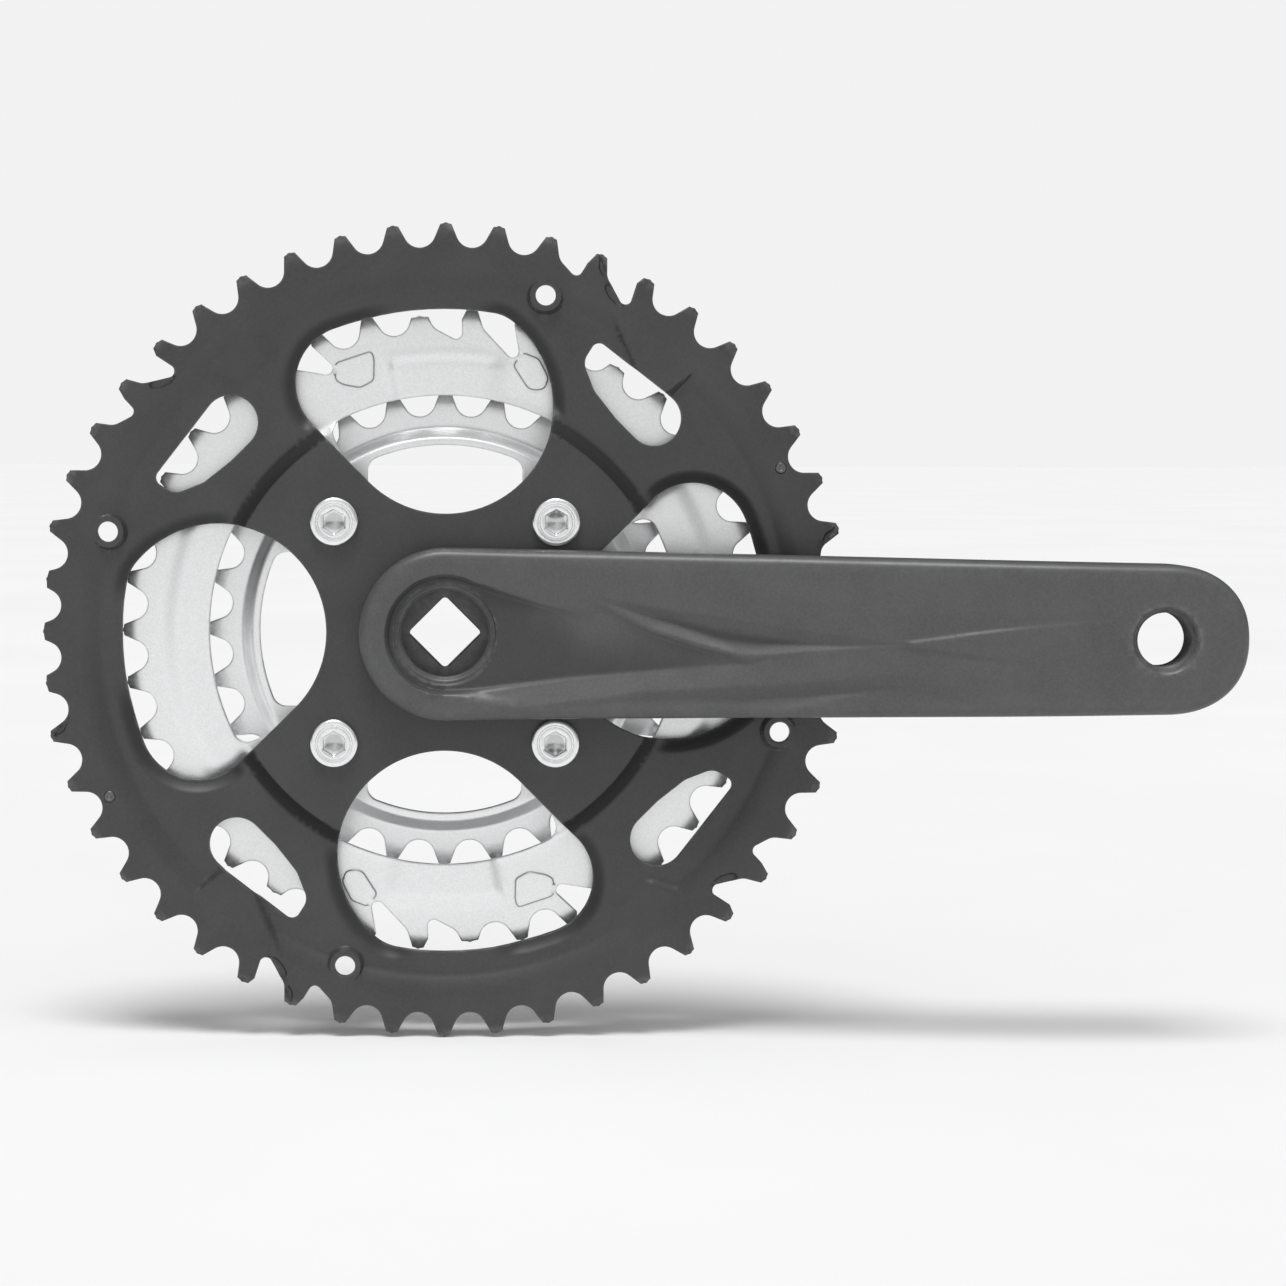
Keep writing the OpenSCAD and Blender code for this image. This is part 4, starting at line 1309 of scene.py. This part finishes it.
def sleeve_nut(i):
    """Flanged sleeve with two wrench slots across its flange."""
    shape = Shape()
    centre = BOLT_SPOTS[i - 1]
    n = 72
    angles = np.arange(n) * 360 / n
    flange_r, sleeve_r, bore_r = 6.8, 5.0, 4.0
    seat = NUT_BACK + 1.5
    slotted = np.abs(np.sin(np.radians(angles))) * flange_r < 0.95
    outside = [(bore_r + 0.25, NUT_TOP), (sleeve_r - 0.25, NUT_TOP), (sleeve_r, NUT_TOP - 0.25),
               (sleeve_r, seat), (flange_r - 0.2, seat), (flange_r, seat - 0.2), (flange_r, NUT_BACK + 0.82)]
    rings = lathe(shape, centre, outside, n, worn=0.2)
    for r, drop in ((flange_r, 0.25), (flange_r - 0.25, 0.0), (sleeve_r + 0.2, 0.0), (bore_r + 0.3, 0.0),
                    (bore_r, 0.3)):
        ring = np.asarray(centre) + polar(r, angles)
        z = np.where(slotted, NUT_BACK + 0.8, NUT_BACK + drop)
        start = shape.add(joined(ring, z), 0.4)
        shape.strip(rings[-1], start, n)
        rings.append(start)
    bore = lathe(shape, centre, bead_rows(NUT_BACK + 12.0, NUT_BACK + 1.0, bore_r, bore_r + 0.3, 0.8)[::-1]
                 + [(bore_r, NUT_TOP - 0.25)], n, worn=0.2)
    shape.strip(rings[-1], bore[0], n)
    shape.strip(bore[-1], rings[0], n)
    return shape.piece(f"nut_{i}", MATERIALS["nut"], "nut_steel", f"sleeve_nut_{i}", seams=True)


def spacer(name, node, i):
    shape = Shape()
    centre = BOLT_SPOTS[i - 1]
    low, high = inboard(node), outboard(node)
    r, hole = 7.0, SLEEVE_HOLE_R
    profile = [(hole, low + 0.2), (hole + 0.2, low), (r - 0.3, low), (r, low + 0.3), (r, high - 0.3),
               (r - 0.3, high), (hole + 0.2, high), (hole, high - 0.2), (hole, low + 0.2)]
    lathe(shape, centre, profile, 64, worn=0.2)
    return shape.piece(name, MATERIALS["nut"], "nut_steel", node, seams=True)


def shift_pin(i):
    shape = Shape()
    centre = polar(PIN_CIRCLE_R, PIN_ANGLES[i - 1])
    node = f"shift_pin_{i}"
    low, high = inboard(node), outboard(node)
    profile = [(0.1, low), (1.5, low), (2.0, low + 0.35), (2.1, low + 0.8), (1.95, low + 1.0),
               (1.35, low + 1.0), (1.35, high - 0.25),
               (1.15, high - 0.03), (0.7, high), (0.5, high - 0.12), (0.1, high - 0.16)]
    # The pin's own darker colour goes through the painted-shade value
    rings = lathe(shape, centre, profile, 40, worn=0.3, painted_shade_and_tone=0.85)
    shape.faces += [tuple(range(ring, ring + 40)) for ring in (rings[0], rings[-1])]
    return shape.piece(f"pin_{i}", MATERIALS["pin"], "pin_steel", node, seams=True)


# ---- studio ----


CAMERA_AWAY = 0.83
CAMERA_UP = 3.0
CAMERA_TARGET = (0.0169, -0.0185, -0.0026)
CAMERA_ROLL = 0.2
CAMERA_LENS = 93.4
CAMERA_SHIFT = 0.10
FLOOR_HALF = 40.0


def make_camera():
    camera = bpy.data.objects.new("camera", bpy.data.cameras.new("camera"))
    bpy.context.scene.collection.objects.link(camera)
    up = math.radians(CAMERA_UP)
    spot = Vector((0.0, -CAMERA_AWAY * math.cos(up), CAMERA_AWAY * math.sin(up)))
    aim = (Vector(CAMERA_TARGET) - spot).to_track_quat("-Z", "Y")
    camera.location = spot
    camera.rotation_mode = "QUATERNION"
    camera.rotation_quaternion = aim @ Quaternion((0, 0, 1), math.radians(CAMERA_ROLL))
    camera.data.sensor_width = 36
    camera.data.lens = CAMERA_LENS
    camera.data.shift_x = CAMERA_SHIFT
    camera.data.clip_start, camera.data.clip_end = 0.05, 60
    bpy.context.scene.camera = camera
    return camera


def soft_sun(name, toward, spread, strength):
    """A broad, distant overhead light."""
    light = bpy.data.lights.new(name, "SUN")
    light.angle = math.radians(spread)
    light.energy = strength
    obj = bpy.data.objects.new(name, light)
    bpy.context.scene.collection.objects.link(obj)
    obj.rotation_mode = "QUATERNION"
    obj.rotation_quaternion = Vector(toward).to_track_quat("-Z", "Y")
    return obj


def make_floor():
    floor_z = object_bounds()[0].z - 0.0002
    mesh = bpy.data.meshes.new("floor")
    s = FLOOR_HALF
    corners = [(-s, -s, floor_z), (s, -s, floor_z), (s, s, floor_z), (-s, s, floor_z)]
    mesh.from_pydata(corners, [], [(0, 1, 2, 3)])
    floor = bpy.data.objects.new("floor", mesh)
    bpy.context.scene.collection.objects.link(floor)
    n = Finish("pale_floor")
    colour = n.ramp(n.noise(3, 3), [(0.3, (0.90, 0.90, 0.90)), (0.7, (0.93, 0.93, 0.93))])
    mesh.materials.append(n.finish(colour, n.spread(n.noise(20, 3), 0.7, 0.85)))
    return floor


# Brightness of the room in each direction: toward, how tight, how bright
ROOM_BASE = 0.10
ROOM_GLOWS = [
    ((0.10, -0.35, 0.93), 3.0, 0.9),
    ((0.95, -0.30, 0.10), 3.0, 0.25),
    ((-0.95, -0.40, 0.0), 2.5, -0.15),
    ((-0.30, -0.94, 0.12), 6.0, 0.70),
]
ROOM_SEEN = 0.89
ROOM_LEAST = 0.04


def make_world():
    """A pale room: bright overhead, dim to the left, soft and bright in front."""
    world = bpy.data.worlds.new("studio")
    bpy.context.scene.world = world
    world.use_nodes = True
    n = Nodes(world.node_tree, "Generated")
    total = ROOM_BASE
    for toward, tight, bright in ROOM_GLOWS:
        facing = n.node("VectorMath", "Value", n.place, Vector(toward).normalized(), operation="DOT_PRODUCT")
        glow = n.maths("POWER", n.maths("MAXIMUM", facing, 0.0), tight)
        total = n.maths("ADD", n.maths("MULTIPLY", glow, bright), total)
    lit = n.maths("MAXIMUM", total, ROOM_LEAST)
    shown = n.mix(n.node("LightPath", "Is Camera Ray"), lit, ROOM_SEEN, "FLOAT")
    back = n.tree.nodes["Background"].inputs
    n.put(shown, back["Color"])
    back["Strength"].default_value = 1.0


def make_studio():
    make_world()
    soft_sun("overhead", (0.06, 0.40, -1.0), 24, 2.0)
    bpy.context.scene.view_settings.view_transform = "Standard"


# ---- everything ----

make_camera()
crank_arm()
outer_chainring()
middle_chainring()
inner_chainring()
for number in range(1, 5):
    chainring_bolt(number)
    sleeve_nut(number)
    spacer(f"outer_spacer_ring_{number}", f"outer_spacer_{number}", number)
    spacer(f"inner_spacer_ring_{number}", f"inner_spacer_{number}", number)
for number in (1, 2):
    shift_pin(number)
make_floor()
make_studio()
